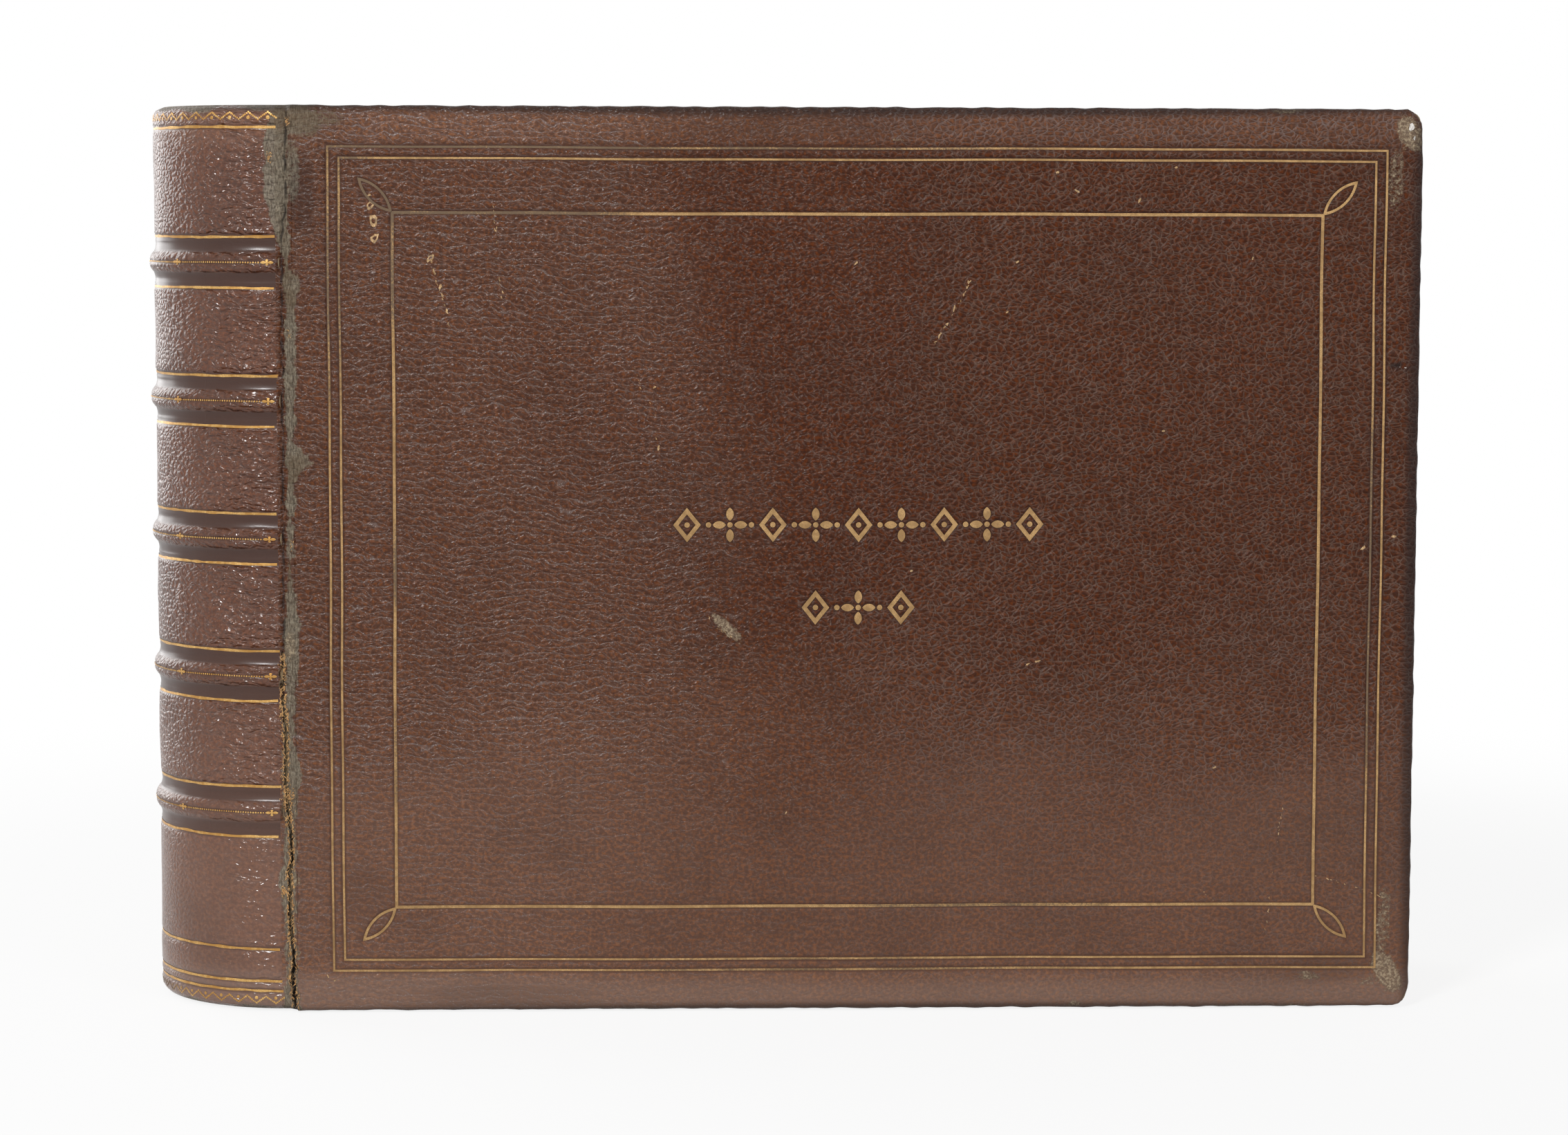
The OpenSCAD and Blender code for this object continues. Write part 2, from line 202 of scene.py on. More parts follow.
def stray(x, y):
    """How far a line that is tooled by hand strays at a place."""
    dx = 0.10 * np.sin(y / 23.0 + 1.3) + 0.06 * np.sin(y / 9.1 + 0.4)
    dy = 0.10 * np.sin(x / 31.0 + 0.7) + 0.06 * np.sin(x / 11.3 + 2.1)
    return dx, dy


# Meshes

def add_object(name, data):
    thing = bpy.data.objects.new(name, data)
    bpy.context.scene.collection.objects.link(thing)
    return thing


def add_piece(name, points, faces, body, material, values=None, replaces=()):
    """A mesh piece from points in millimetres, with values for its material, riding on a body."""
    mesh = bpy.data.meshes.new(name)
    faces = faces.tolist() if isinstance(faces, np.ndarray) else faces
    mesh.from_pydata((np.asarray(points) * MM).tolist(), [], faces)
    for key, numbers in (values or {}).items():
        numbers = np.asarray(numbers, np.float32)
        vector = numbers.ndim == 2
        kind = "FLOAT_VECTOR" if vector else "FLOAT"
        attribute = mesh.attributes.new(key, kind, "POINT")
        attribute.data.foreach_set("vector" if vector else "value", numbers.ravel())
    mesh.polygons.foreach_set("use_smooth", [True] * len(mesh.polygons))
    mesh.materials.append(material)
    mesh.validate()
    mesh.update()
    piece = add_object(name, mesh)
    if body:
        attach(piece, body)
    if replaces:
        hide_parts(*replaces)
    return piece


def flat(outline):
    """Points of an outline that lies on the sheet."""
    return [(u, v, 0.0) for u, v in outline]


class Shapes:
    """Small shapes gathered into one mesh, each point with its sheet place and its height."""

    def __init__(self):
        self.points = []
        self.faces = []

    def add(self, points, faces):
        start = len(self.points)
        self.points.extend(points)
        self.faces.extend([[i + start for i in face] for face in faces])

    def fan(self, outline, centre, rise=0.0):
        """A flat shape about its centre, which may stand up a little."""
        count = len(outline)
        points = flat(outline) + [(*centre, rise)]
        self.add(points, [[i, (i + 1) % count, count] for i in range(count)])

    def ring(self, outer, inner):
        """The area between two closed outlines of equally many points."""
        count = len(outer)
        pairs = [(i, (i + 1) % count) for i in range(count)]
        self.add(flat(outer) + flat(inner), [[i, j, count + j, count + i] for i, j in pairs])

    def ribbon(self, path, widths):
        """A strip along an open path, as wide as widths says at each point."""
        path = np.asarray(path, float)
        along = np.gradient(path, axis=0)
        along /= np.linalg.norm(along, axis=1, keepdims=True)
        side = np.stack([-along[:, 1], along[:, 0]], 1) * (np.asarray(widths)[:, None] / 2)
        count = len(path)
        both = np.concatenate([path - side, path + side])
        faces = [[i, i + 1, count + i + 1, count + i] for i in range(count - 1)]
        self.add(flat(both), faces)

    def dot(self, u, v, radius, rise=0.06, sides=8):
        turns = [math.tau * i / sides for i in range(sides)]
        outline = [(u + radius * math.cos(t), v + radius * math.sin(t)) for t in turns]
        self.fan(outline, (u, v), rise)

    def arrays(self):
        """Places on the sheet, heights above it, and faces."""
        return *np.array(self.points, float).T, self.faces


# Places on the sheet

def cover_point(u, v, out, side):
    """A place on a cover's face; side is -1 for the front cover and 1 for the rear one."""
    return np.stack([COVER_X + u, side * (FACE_Y + out), v + 0.0 * u], -1)


def spine_point(u, v, radius):
    """A place on the spine: straight along both joints, and half round between them."""
    angle = np.clip((JOINT_U - u) / SPINE_R, 0.0, math.pi)
    past_front = np.maximum(u - JOINT_U, 0.0)
    past_rear = np.maximum(REAR_JOINT_U - u, 0.0)
    x = SPINE_X - radius * np.sin(angle) + past_front + past_rear
    return np.stack([x, -radius * np.cos(angle), v + 0.0 * u], -1)


# Distances to the tooled shapes, negative inside them

def frame_half(side, end):
    """Half the width and the height of one frame, to the middle of its rule."""
    return COVER_W / 2 - side - RULE_W / 2, HEIGHT / 2 - end - RULE_W / 2


def frame_gap(u, v, side, end):
    """To the rule of one frame on the front cover."""
    half_w, half_h = frame_half(side, end)
    across = np.abs(u - COVER_W / 2) - half_w
    up = np.abs(v - HEIGHT / 2) - half_h
    return np.abs(np.maximum(across, up)) - RULE_W / 2


def oval_gap(x, y, length, width):
    """To a pointed oval between two arcs."""
    r = (length ** 2 + width ** 2) / (4 * width)
    rise = r - width / 2
    return np.maximum(np.hypot(x, y - rise), np.hypot(x, y + rise)) - r


def loop_corners():
    """Corners of the inner frame, each with its outward directions."""
    half_w, half_h = frame_half(*FRAMES[2])
    for su in (-1, 1):
        for sv in (-1, 1):
            yield COVER_W / 2 + su * half_w, HEIGHT / 2 + sv * half_h, su, sv


def loop_gap(u, v, corner_u, corner_v, su, sv):
    """To the pointed loop at one corner of the inner frame."""
    x = (su * (u - corner_u) + sv * (v - corner_v)) / math.sqrt(2) - LOOP_L / 2
    y = (sv * (v - corner_v) - su * (u - corner_u)) / math.sqrt(2)
    outer = oval_gap(x, y, LOOP_L, LOOP_W)
    inner = oval_gap(x, y, *LOOP_HOLE)
    return np.maximum(outer, -inner)


def lozenge_gap(x, y):
    h = MOTIF / 2
    w = h * LOZENGE_WIDTH
    edge = (np.abs(x) / w + np.abs(y) / h - 1.0) * w * h / math.hypot(w, h)
    line = np.abs(edge + MOTIF_LINE / 2) - MOTIF_LINE / 2
    return np.minimum(line, np.hypot(x, y) - MOTIF_DOT / 2)


def petals_gap(x, y):
    middle = (MOTIF - PETAL_L) / 2
    gap = np.hypot(x, y) - MOTIF_DOT / 2
    for turn in range(4):
        c, s = math.cos(turn * math.pi / 2), math.sin(turn * math.pi / 2)
        gap = np.minimum(gap, oval_gap(x * c + y * s - middle, y * c - x * s, PETAL_L, PETAL_W))
    return gap


def motif_places():
    """Each motif and dot of the ornament: (kind, u, v)."""
    for v, count in MOTIF_ROWS:
        for i in range(count):
            kind = "lozenge" if i % 2 == 0 else "petals"
            yield kind, COVER_W / 2 + (i - (count - 1) / 2) * MOTIF_PITCH, v
        for i in range(count - 1):
            yield "dot", COVER_W / 2 + (i - (count - 2) / 2) * MOTIF_PITCH, v


def tooling_gap(u, v):
    """To the nearest gilt line on the front cover."""
    dx, dy = stray(u, v)
    u = u - dx
    v = v - dy
    gap = np.full(np.shape(u), NO_TOOLING)
    for side, end in FRAMES:
        gap = np.minimum(gap, frame_gap(u, v, side, end))
    for corner in loop_corners():
        gap = np.minimum(gap, loop_gap(u, v, *corner))
    for kind, mu, mv in motif_places():
        near = (np.abs(u - mu) < MOTIF) & (np.abs(v - mv) < MOTIF)
        x = u[near] - mu
        y = v[near] - mv
        if kind == "lozenge":
            part = lozenge_gap(x, y)
        elif kind == "petals":
            part = petals_gap(x, y)
        else:
            part = np.hypot(x, y) - MOTIF_DOT / 2
        gap[near] = np.minimum(gap[near], part)
    return gap


def groove(gap, depth=GROOVE_DEPTH):
    """Depth of the leather beside and under a gilt line."""
    return depth * fall(gap, 0.25, 0.8)


# Wear and painted shade. Each mark is (u, v, half length, half width, angle in degrees, strength)

RUB_EDGES = np.array([
    # v, left edge, right edge and strength of the rubbed leather along the front joint
    (-1.0, -4.4, 1.6, 0.85), (6.0, -4.0, 0.6, 0.80), (10.0, -3.4, 0.4, 0.70),
    (24.0, -4.0, 0.2, 0.72), (30.0, -4.4, 0.4, 0.75), (36.0, -5.4, 0.2, 0.90),
    (40.0, -5.6, 0.4, 0.90), (45.0, -3.6, 0.2, 0.72), (62.0, -4.0, 0.4, 0.74),
    (68.0, -4.4, 2.6, 0.95), (72.0, -4.0, 2.2, 0.90), (76.0, -3.8, 0.4, 0.75),
    (90.0, -4.2, 0.4, 0.72), (98.0, -2.6, 0.8, 0.70), (104.0, -3.2, 2.2, 1.0),
    (110.0, -3.0, 0.8, 0.95),
    (114.0, -3.6, 3.0, 0.90), (120.0, -2.4, 0.6, 0.75), (132.0, -2.2, 0.0, 0.65),
    (146.0, -2.2, 0.6, 0.80), (153.0, -2.0, 0.4, 0.85), (160.0, -2.2, 5.8, 0.90),
    (166.0, -2.2, 0.8, 0.80), (180.0, -2.6, 1.4, 0.75), (190.0, -2.4, 1.4, 0.80),
    (203.0, -2.4, 1.8, 0.75), (209.0, -2.6, 2.8, 0.80), (216.0, -2.8, 0.2, 0.70),
    (222.0, -3.4, -0.4, 0.80), (228.0, -5.6, -0.8, 0.95), (236.0, -7.8, -0.9, 1.0),
    (252.0, -7.9, -0.6, 1.0), (257.0, -6.4, 3.0, 0.90), (263.0, -6.0, 7.0, 0.85)])
RUB_MARKS = (
    (4.0, 257.0, 7.0, 6.0, 0, 0.75), (0.6, 243.0, 3.2, 13.0, 0, 0.68),
    (9.0, 258.0, 10.0, 4.0, 0, 0.60), (1.5, 212.0, 2.4, 5.0, 0, 0.55), (0.8, 186.0, 1.6, 9.0, 0, 0.5))
SCUFF_MARKS = (
    (321.4, 255.0, 7.0, 4.4, -58, 1.0), (317.6, 242.0, 13.0, 3.6, 88, 0.62),
    (318.6, 10.5, 9.0, 4.4, -60, 0.98), (317.2, 24.0, 14.0, 3.0, 86, 0.66),
    (312.5, 7.4, 5.0, 2.4, 10, 0.62), (295.6, 9.4, 4.8, 1.8, -10, 0.80),
    (317.6, 33.6, 3.4, 1.5, -45, 0.85),
    (COVER_W - 0.6, 90.0, 30.0, 1.2, 90, 0.45), (COVER_W - 0.6, 170.0, 26.0, 1.0, 90, 0.4),
    (173.2, 253.2, 4.0, 1.2, -5, 0.8), (285.6, 261.3, 6.5, 1.1, 0, 0.8),
    (226.4, 1.2, 2.2, 1.8, 0, 1.0), (120.0, 261.4, 18.0, 0.8, 0, 0.5),
    (95.0, 0.4, 30.0, 0.8, 0, 0.5), (280.0, 0.6, 24.0, 0.9, 0, 0.6),
    (124.8, 112.0, 7.2, 2.3, -42, 0.9), (122.0, 114.6, 3.0, 1.0, -48, 0.9),
    (-2.2, 39.4, 1.8, 2.2, 0, 0.8), (-0.6, 38.8, 2.2, 3.4, 60, 0.7),
    (-1.2, 106.5, 2.4, 6.0, 0, 0.75))
# Dark marks. The first, in a dent, and the long bands along the fore edge, the head and the tail, where the
# leather rounds away, are painted shade; the others are darker patches
DARK_MARKS = (
    (319.0, 187.5, 3.2, 1.3, -12, 1.0), (COVER_W + 0.4, 131.0, 230.0, 5.2, 90, 0.72),
    (COVER_W / 2, HEIGHT + 1.0, 260.0, 4.4, 0, 0.85), (COVER_W / 2, -1.2, 260.0, 4.0, 0, 0.75),
    (312.0, 136.0, 8.0, 5.0, 20, 0.4), (178.6, 129.2, 2.5, 1.6, 0, 0.5),
    (300.0, 12.0, 20.0, 7.0, 5, 0.4), (60.0, 5.0, 40.0, 4.0, 0, 0.35),
    (150.0, 256.0, 60.0, 4.5, 0, 0.35), (296.0, 236.0, 22.0, 9.0, -30, 0.25),
    (20.0, 34.0, 10.0, 16.0, 0, 0.3), (3.5, 236.0, 5.0, 16.0, 0, 0.5), (16.0, 180.0, 6.0, 30.0, 0, 0.25))

GILT_WEAR = (
    (12.0, 214.0, 44.0, 4.0, 90, 0.62), (31.0, 130.0, 19.0, 2.6, 90, 0.95),
    (24.0, 238.0, 16.0, 7.0, -45, 1.0), (60.0, 231.0, 40.0, 2.0, 0, 0.8),
    (60.0, 250.0, 60.0, 3.0, 0, 0.9), (30.0, 214.0, 18.0, 5.0, 90, 0.7),
    (312.0, 120.0, 60.0, 2.2, 90, 0.8), (160.0, 250.0, 60.0, 3.0, 0, 0.6),
    (150.0, 13.0, 90.0, 3.0, 0, 0.45), (31.0, 76.0, 22.0, 3.0, 90, 0.55),
    (200.0, 31.0, 60.0, 3.0, 0, 0.4))


def marks(u, v, listed):
    """Strength of soft oval marks."""
    total = np.zeros(np.shape(u))
    for mu, mv, long_r, wide_r, angle, strength in listed:
        c, s = math.cos(math.radians(angle)), math.sin(math.radians(angle))
        x = ((u - mu) * c + (v - mv) * s) / long_r
        y = ((v - mv) * c - (u - mu) * s) / wide_r
        total = np.maximum(total, strength * fall(np.hypot(x, y), 0.45, 1.25))
    return total


def rub_value(u, v):
    """The grey rubbed leather along the front joint, ragged at its edges."""
    ragged = 0.55 * ripple(v, 7.0, 11) + 0.35 * waves(v, u, 2.6, 12)
    left = at_height(RUB_EDGES, v, 1) - ragged * 0.7
    right = at_height(RUB_EDGES, v, 2) + ragged
    inside = np.minimum(u - left, right - u)
    strength = at_height(RUB_EDGES, v, 3)
    return np.maximum(smooth(inside, -0.9, 0.9) * strength, marks(u, v, RUB_MARKS))


def leather_values(u, v, gap, burnish=0.0, plain=False):
    """Numbers that the leather's material reads at each point: place; rubbing, scuffs with painted glints,
    and darkening with painted shade; and look, whose fading is partly painted light.
    """
    if plain:
        rub = scuff_and_glint = dark = np.zeros_like(u)
    else:
        rub, scuff_and_glint, dark = rub_value(u, v), marks(u, v, SCUFF_MARKS), marks(u, v, DARK_MARKS)
    pressed = fall(gap, 0.10, 0.60)
    tooled = np.maximum(burnish, pressed)
    # Painted shade beside the tooled grooves and in the band hollows, together with the real darkening of
    # tooled and burnished leather
    dark = np.maximum(dark, np.maximum(0.30 * pressed, 0.42 * smooth(burnish, 0.4, 1.0)))
    wandering_u = u + 16.0 * waves(u, v, 90.0, 21)
    wandering_v = v + 10.0 * waves(u, v, 80.0, 22)
    stretch = fall(wandering_u, 80.0, 200.0)
    # Partly real fading and partly painted light: lighter towards the spine side and the tail, at the head
    # and tail margins, and a little low towards the fore edge
    fade_and_painted_light = 0.55 * fall(wandering_v, 10.0, 140.0)
    fade_and_painted_light += 0.33 * fall(wandering_u, 60.0, 170.0)
    fade_and_painted_light += 0.6 * fall(v, 4.0, 16.0) + 0.5 * smooth(v, 246.0, 256.0)
    fade_and_painted_light = np.clip(fade_and_painted_light, 0.0, 1.4)
    calm = fall(wandering_v, 20.0, 110.0)
    fade_and_painted_light += 0.14 * calm * smooth(u, 80.0, 200.0)
    return {
        "calm": calm.ravel(),
        "hide": np.stack([u, v, 0.0 * u], -1).reshape(-1, 3),
        "wear_and_painted_light": np.stack([rub, scuff_and_glint, dark], -1).reshape(-1, 3),
        "look": np.stack([tooled, stretch, fade_and_painted_light], -1).reshape(-1, 3)}


def raise_mark(values, column, wear_and_painted_light):
    """Raises one kind of mark (0 rubbed, 1 scuffed with painted glints, 2 dark with painted shade) where it
    is less than this.
    """
    values["wear_and_painted_light"][:, column] = np.maximum(values["wear_and_painted_light"][:, column], wear_and_painted_light.ravel())


# Materials

def rgb(red, green, blue):
    """A screen colour, 0 to 255, as the linear colour that Blender uses."""
    def linear(c):
        c /= 255.0
        return c / 12.92 if c <= 0.04045 else ((c + 0.055) / 1.055) ** 2.4
    return (linear(red), linear(green), linear(blue), 1.0)


WHITE = (1.0, 1.0, 1.0, 1.0)


class Shader:
    """Builds the nodes of a material or a world. Each call adds nodes and returns an output."""

    def __init__(self, name, world=False):
        kind = bpy.data.worlds if world else bpy.data.materials
        self.light = "Background" if world else "Emission"
        self.owner = kind.new(name)
        self.owner.use_nodes = True
        self.tree = self.owner.node_tree
        self.tree.nodes.clear()
        self.output = self.tree.nodes.new("ShaderNodeOutput" + ("World" if world else "Material"))

    def put(self, socket, value):
        if isinstance(value, bpy.types.NodeSocket):
            self.tree.links.new(value, socket)
        elif value is not None:
            socket.default_value = value

    def node(self, kind, inputs=(), **settings):
        node = self.tree.nodes.new("ShaderNode" + kind)
        for key, value in settings.items():
            setattr(node, key, value)
        for key, value in dict(inputs).items():
            self.put(node.inputs[key], value)
        return node

    def math(self, operation, a, b=None):
        return self.node("Math", {0: a, 1: b}, operation=operation).outputs[0]

    def add(self, a, b):
        return self.math("ADD", a, b)

    def times(self, a, b):
        return self.math("MULTIPLY", a, b)

    def most(self, a, b):
        return self.math("MAXIMUM", a, b)

    def less(self, a):
        """1 minus a."""
        return self.math("SUBTRACT", 1.0, a)

    def step(self, value, low, high, to_low=0.0, to_high=1.0):
        inputs = {"Value": value, "From Min": low, "From Max": high,
                  "To Min": to_low, "To Max": to_high}
        node = self.node("MapRange", inputs, interpolation_type="SMOOTHSTEP", clamp=True)
        return node.outputs["Result"]

    def mix(self, factor, a, b):
        """A colour between a and b."""
        return self.node("Mix", {0: factor, 6: a, 7: b}, data_type="RGBA").outputs[2]

    def blend(self, factor, a, b):
        """A number between a and b."""
        return self.node("Mix", {0: factor, 2: a, 3: b}, data_type="FLOAT").outputs[0]

    def noise(self, place, scale, detail=2.0, rough=0.5, colour=False):
        inputs = {"Vector": place, "Scale": scale, "Detail": detail, "Roughness": rough}
        return self.node("TexNoise", inputs).outputs["Color" if colour else "Fac"]

    def cells(self, place, scale, feature="DISTANCE_TO_EDGE", dimensions="2D"):
        node = self.node("TexVoronoi", {"Vector": place, "Scale": scale},
                         feature=feature, voronoi_dimensions=dimensions)
        return node.outputs["Distance"]

    def fold_lines(self, phase):
        """Distance, up to 0.5, to the nearest line of a phase that grows by 1 from fold to fold."""
        return self.math("ABSOLUTE", self.math("SUBTRACT", self.math("FRACT", phase), 0.5))

    def vector(self, operation, a, b):
        node = self.node("VectorMath", {0: a, 1: b}, operation=operation)
        return node.outputs[0]

    def scaled(self, place, factors):
        return self.vector("MULTIPLY", place, factors)

    def parts(self, vector):
        """The three numbers of a vector."""
        return self.node("SeparateXYZ", {0: vector}).outputs

    def moved(self, place, by, amount):
        """A place moved by a noise colour, at most half of amount each way."""
        centred = self.vector("SUBTRACT", by, (0.5, 0.5, 0.5))
        return self.vector("ADD", place, self.scaled(centred, (amount,) * 3))

    def value(self, name):
        return self.node("Attribute", attribute_name=name)

    def place(self):
        """The piece's own coordinates in millimetres."""
        place = self.node("TexCoord").outputs["Object"]
        return self.scaled(place, (1.0 / MM,) * 3)

    def bump(self, height):
        """Height is in millimetres."""
        inputs = {"Height": height, "Distance": MM, "Strength": 1.0}
        return self.node("Bump", inputs).outputs["Normal"]

    def white_or(self, plain, share=1.0):
        """Plain white, by this share, where the camera or a reflection sees it."""
        white = self.node(self.light, {"Color": WHITE, "Strength": 1.0}).outputs[0]
        path = self.node("LightPath").outputs
        seen = self.most(path["Is Camera Ray"], path["Is Glossy Ray"])
        seen = self.times(self.most(seen, path["Is Transmission Ray"]), share)
        return self.surface(self.node("MixShader", {0: seen, 1: plain, 2: white}).outputs[0])

    def surface(self, shader):
        self.tree.links.new(shader, self.output.inputs["Surface"])
        return self.owner

    def finish(self, colour, roughness, normal, metallic=0.0, specular=0.3):
        inputs = {"Base Color": colour, "Roughness": roughness, "Normal": normal,
                  "Metallic": metallic, "Specular IOR Level": specular}
        return self.surface(self.node("BsdfPrincipled", inputs).outputs[0])


def leather_material(name, specular, relief, fold_relief, net_share, gloss_round, gloss_drawn, sound):
    """Pebbled goatskin: reddish pebbles in a grey net of creases, rubbed, scuffed and burnished.
    sound holds its deep and warm colours, each first fresh and then faded and lit; the lighter colours are
    partly real fading and partly painted light."""
    s = Shader(name)
    hide = s.value("hide").outputs["Vector"]
    rub, scuff_and_glint, dark = s.parts(s.value("wear_and_painted_light").outputs["Vector"])
    tooled, stretch, fade_and_painted_light = s.parts(s.value("look").outputs["Vector"])
    lively = s.step(s.value("calm").outputs["Fac"], 0.0, 1.0, 1.0, 0.35)

    # The grain: small pebbles inside wavy folds, both drawn out along u where the hide is stretched
    wide_warp = s.noise(hide, 0.028, 1.0, colour=True)
    wavy_warp = s.noise(hide, 0.20, 1.0, colour=True)
    small_warp = s.noise(hide, 0.75, 1.0, colour=True)
    bent = s.moved(s.moved(s.moved(hide, wide_warp, 6.0), wavy_warp, 3.0), small_warp, 0.6)
    parts = s.parts(bent)
    drift = s.noise(s.scaled(hide, (0.045, 0.12, 1.0)), 1.0, 2.0, 0.55)
    level = s.fold_lines(s.add(s.times(parts[1], 0.44), s.times(drift, 2.6)))
    slanted = s.fold_lines(s.add(s.times(parts[1], 0.36), s.times(s.add(parts[0], drift), 0.17)))
    drawn_folds = s.math("MINIMUM", level, s.add(slanted, 0.03))
    fold_edge = s.blend(stretch, s.cells(s.scaled(bent, (0.72, 1.0, 1.0)), 0.40),
                        drawn_folds)
    pebble_edge = s.blend(stretch, s.cells(s.scaled(bent, (0.66, 1.0, 1.0)), 0.70),
                          s.cells(s.scaled(bent, (0.50, 1.0, 1.0)), 0.92))
    patches = s.noise(hide, 0.030, 3.0, 0.6)
    breaks = s.noise(s.scaled(hide, (0.6, 1.0, 1.0)), 0.30, 3.0, 0.65)
    grains = s.noise(hide, 0.9, 2.0, 0.6)
    dust = s.noise(hide, 2.6, 1.0, 0.6)

    kept = s.step(breaks, 0.36, 0.62, 0.45, 1.0)
    fold_line = s.times(s.less(s.step(fold_edge, 0.015, 0.105)), kept)
    pebble_line = s.times(s.less(s.step(pebble_edge, 0.02, 0.135)),
                          s.blend(stretch, s.step(breaks, 0.40, 0.62, 0.50, 1.0),
                                  s.step(grains, 0.42, 0.62, 0.08, 0.42)))
    crease = s.times(s.most(s.times(fold_line, s.blend(stretch, 0.50, 1.0)), pebble_line), net_share)
    crease = s.times(crease, s.blend(stretch, lively, s.step(lively, 0.35, 1.0, 0.55, 1.0)))

    # Colour of the sound leather
    # From fresh to faded and lit: partly real fading, partly painted light
    deep = s.mix(fade_and_painted_light, *sound[0])
    warm = s.mix(fade_and_painted_light, *sound[1])
    colour = s.mix(s.step(grains, 0.40, 0.70), deep, warm)
    colour = s.mix(s.step(patches, 0.42, 0.70, 0.0, 0.25), colour, rgb(52, 28, 16))
    net = s.mix(s.most(fade_and_painted_light, s.times(stretch, 0.35)), rgb(98, 78, 67), rgb(122, 112, 112))
    colour = s.mix(s.times(crease, s.blend(stretch, 0.66, 0.78)), colour, net)
    # Pale grey where the painted light is strongest
    paling = s.step(fade_and_painted_light, 0.90, 1.35, 0.0, 0.32)
    colour = s.mix(paling, colour, rgb(146, 124, 112))
    haze = s.times(s.step(breaks, 0.40, 0.70), s.blend(stretch, 0.06, 0.10))
    haze = s.add(haze, s.step(lively, 0.35, 1.0, 0.14, 0.0))
    colour = s.mix(haze, colour, rgb(108, 92, 84))
    # Painted highlights: tiny white sparkles along the creases
    painted_sparkle = s.times(s.times(s.step(dust, 0.60, 0.68), crease), s.blend(stretch, 0.10, 0.60))
    colour = s.mix(s.times(painted_sparkle, s.less(tooled)), colour, rgb(200, 192, 188))
    smoothed = s.mix(fade_and_painted_light, rgb(44, 22, 15), rgb(84, 56, 44))
    colour = s.mix(s.times(tooled, 0.75), colour, smoothed)

    # Wear with painted shade and glints, broken up by the grain
    ragged = s.add(s.times(s.noise(hide, 0.9, 4.0, 0.7), 0.8), s.times(grains, 0.35))
    rubbed = s.step(s.add(rub, ragged), 1.02, 1.30)
    fibres = s.noise(s.scaled(hide, (2.2, 0.45, 1.0)), 1.2, 3.0, 0.7)
    grey = s.mix(s.step(fibres, 0.35, 0.70), rgb(80, 73, 62), rgb(146, 137, 119))
    grey = s.mix(s.step(patches, 0.50, 0.62, 0.0, 0.5), grey, rgb(84, 66, 44))
    colour = s.mix(s.times(rubbed, 0.84), colour, grey)
    broken = s.noise(hide, 0.75, 5.0, 0.80)
    crumbs = s.noise(hide, 1.1, 4.0, 0.75)
    scuffed_and_glinting = s.step(s.add(scuff_and_glint, s.times(broken, 1.7)), 1.34, 1.62)
    tan = s.mix(s.step(crumbs, 0.44, 0.62), rgb(108, 92, 76), rgb(174, 157, 130))
    colour = s.mix(s.times(scuffed_and_glinting, 0.78), colour, tan)
    # Dark marks: partly darker patches, partly painted shade in dents, grooves and band hollows, along
    # rounded edges and in the joint's crease and crack
    darkened = s.times(s.step(s.add(dark, s.times(ragged, 0.5)), 0.45, 1.15), 0.75)
    darkened = s.most(darkened, s.step(dark, 1.05, 1.5, 0.0, 0.95))
    colour = s.mix(darkened, colour, rgb(26, 21, 21))
    speck = s.times(s.step(dust, 0.76, 0.82), s.less(tooled))
    colour = s.mix(s.times(speck, s.blend(stretch, 0.15, 0.45)), colour, rgb(190, 180, 172))

    # Relief and gloss
    grained = s.less(tooled)
    pillow = s.add(s.times(s.step(pebble_edge, 0.0, 0.38), s.blend(stretch, 0.20 * relief, 0.13 * relief)),
                   s.times(s.step(fold_edge, 0.0, 0.50),
                           s.blend(stretch, 0.12 * fold_relief, fold_relief)))
    height = s.add(s.times(pillow, s.times(grained, lively)), s.times(dust, 0.01))
    height = s.add(height, s.times(s.add(s.times(rubbed, fibres), s.times(scuffed_and_glinting, crumbs)), 0.14))
    gloss = s.blend(stretch, gloss_round, gloss_drawn)
    gloss = s.blend(s.times(tooled, 0.8), gloss, 0.30)
    gloss = s.blend(s.most(rubbed, scuffed_and_glinting), gloss, 0.60)
    return s.finish(colour, gloss, s.bump(height), specular=specular)


def gilt_material(name, dull, bright):
    """Gold leaf tooled into leather, worn through to the brown in places."""
    s = Shader(name)
    place = s.place()
    worn = s.value("worn").outputs["Fac"]
    broad = s.noise(place, 0.07, 2.0, 0.6)
    grain = s.noise(place, 1.7, 3.0, 0.7)
    fine = s.noise(place, 5.0, 2.0, 0.6)
    gold = s.mix(s.step(fine, 0.30, 0.70), dull, bright)
    dashes = s.noise(place, 0.55, 2.0, 0.6)
    gold = s.mix(s.step(s.add(s.times(broad, 0.5), s.times(dashes, 0.5)), 0.40, 0.60), gold, dull)
    gone = s.step(s.add(s.add(worn, s.times(broad, 0.35)), s.times(grain, 0.75)), 0.72, 0.98)
    colour = s.mix(s.times(gone, 0.85), gold, rgb(88, 72, 58))
    height = s.add(s.times(grain, 0.05), s.times(fine, 0.02))
    metal = s.blend(gone, 0.60, 0.0)
    rough = s.blend(gone, 0.40, 0.55)
    return s.finish(colour, rough, s.bump(height), metallic=metal, specular=0.3)


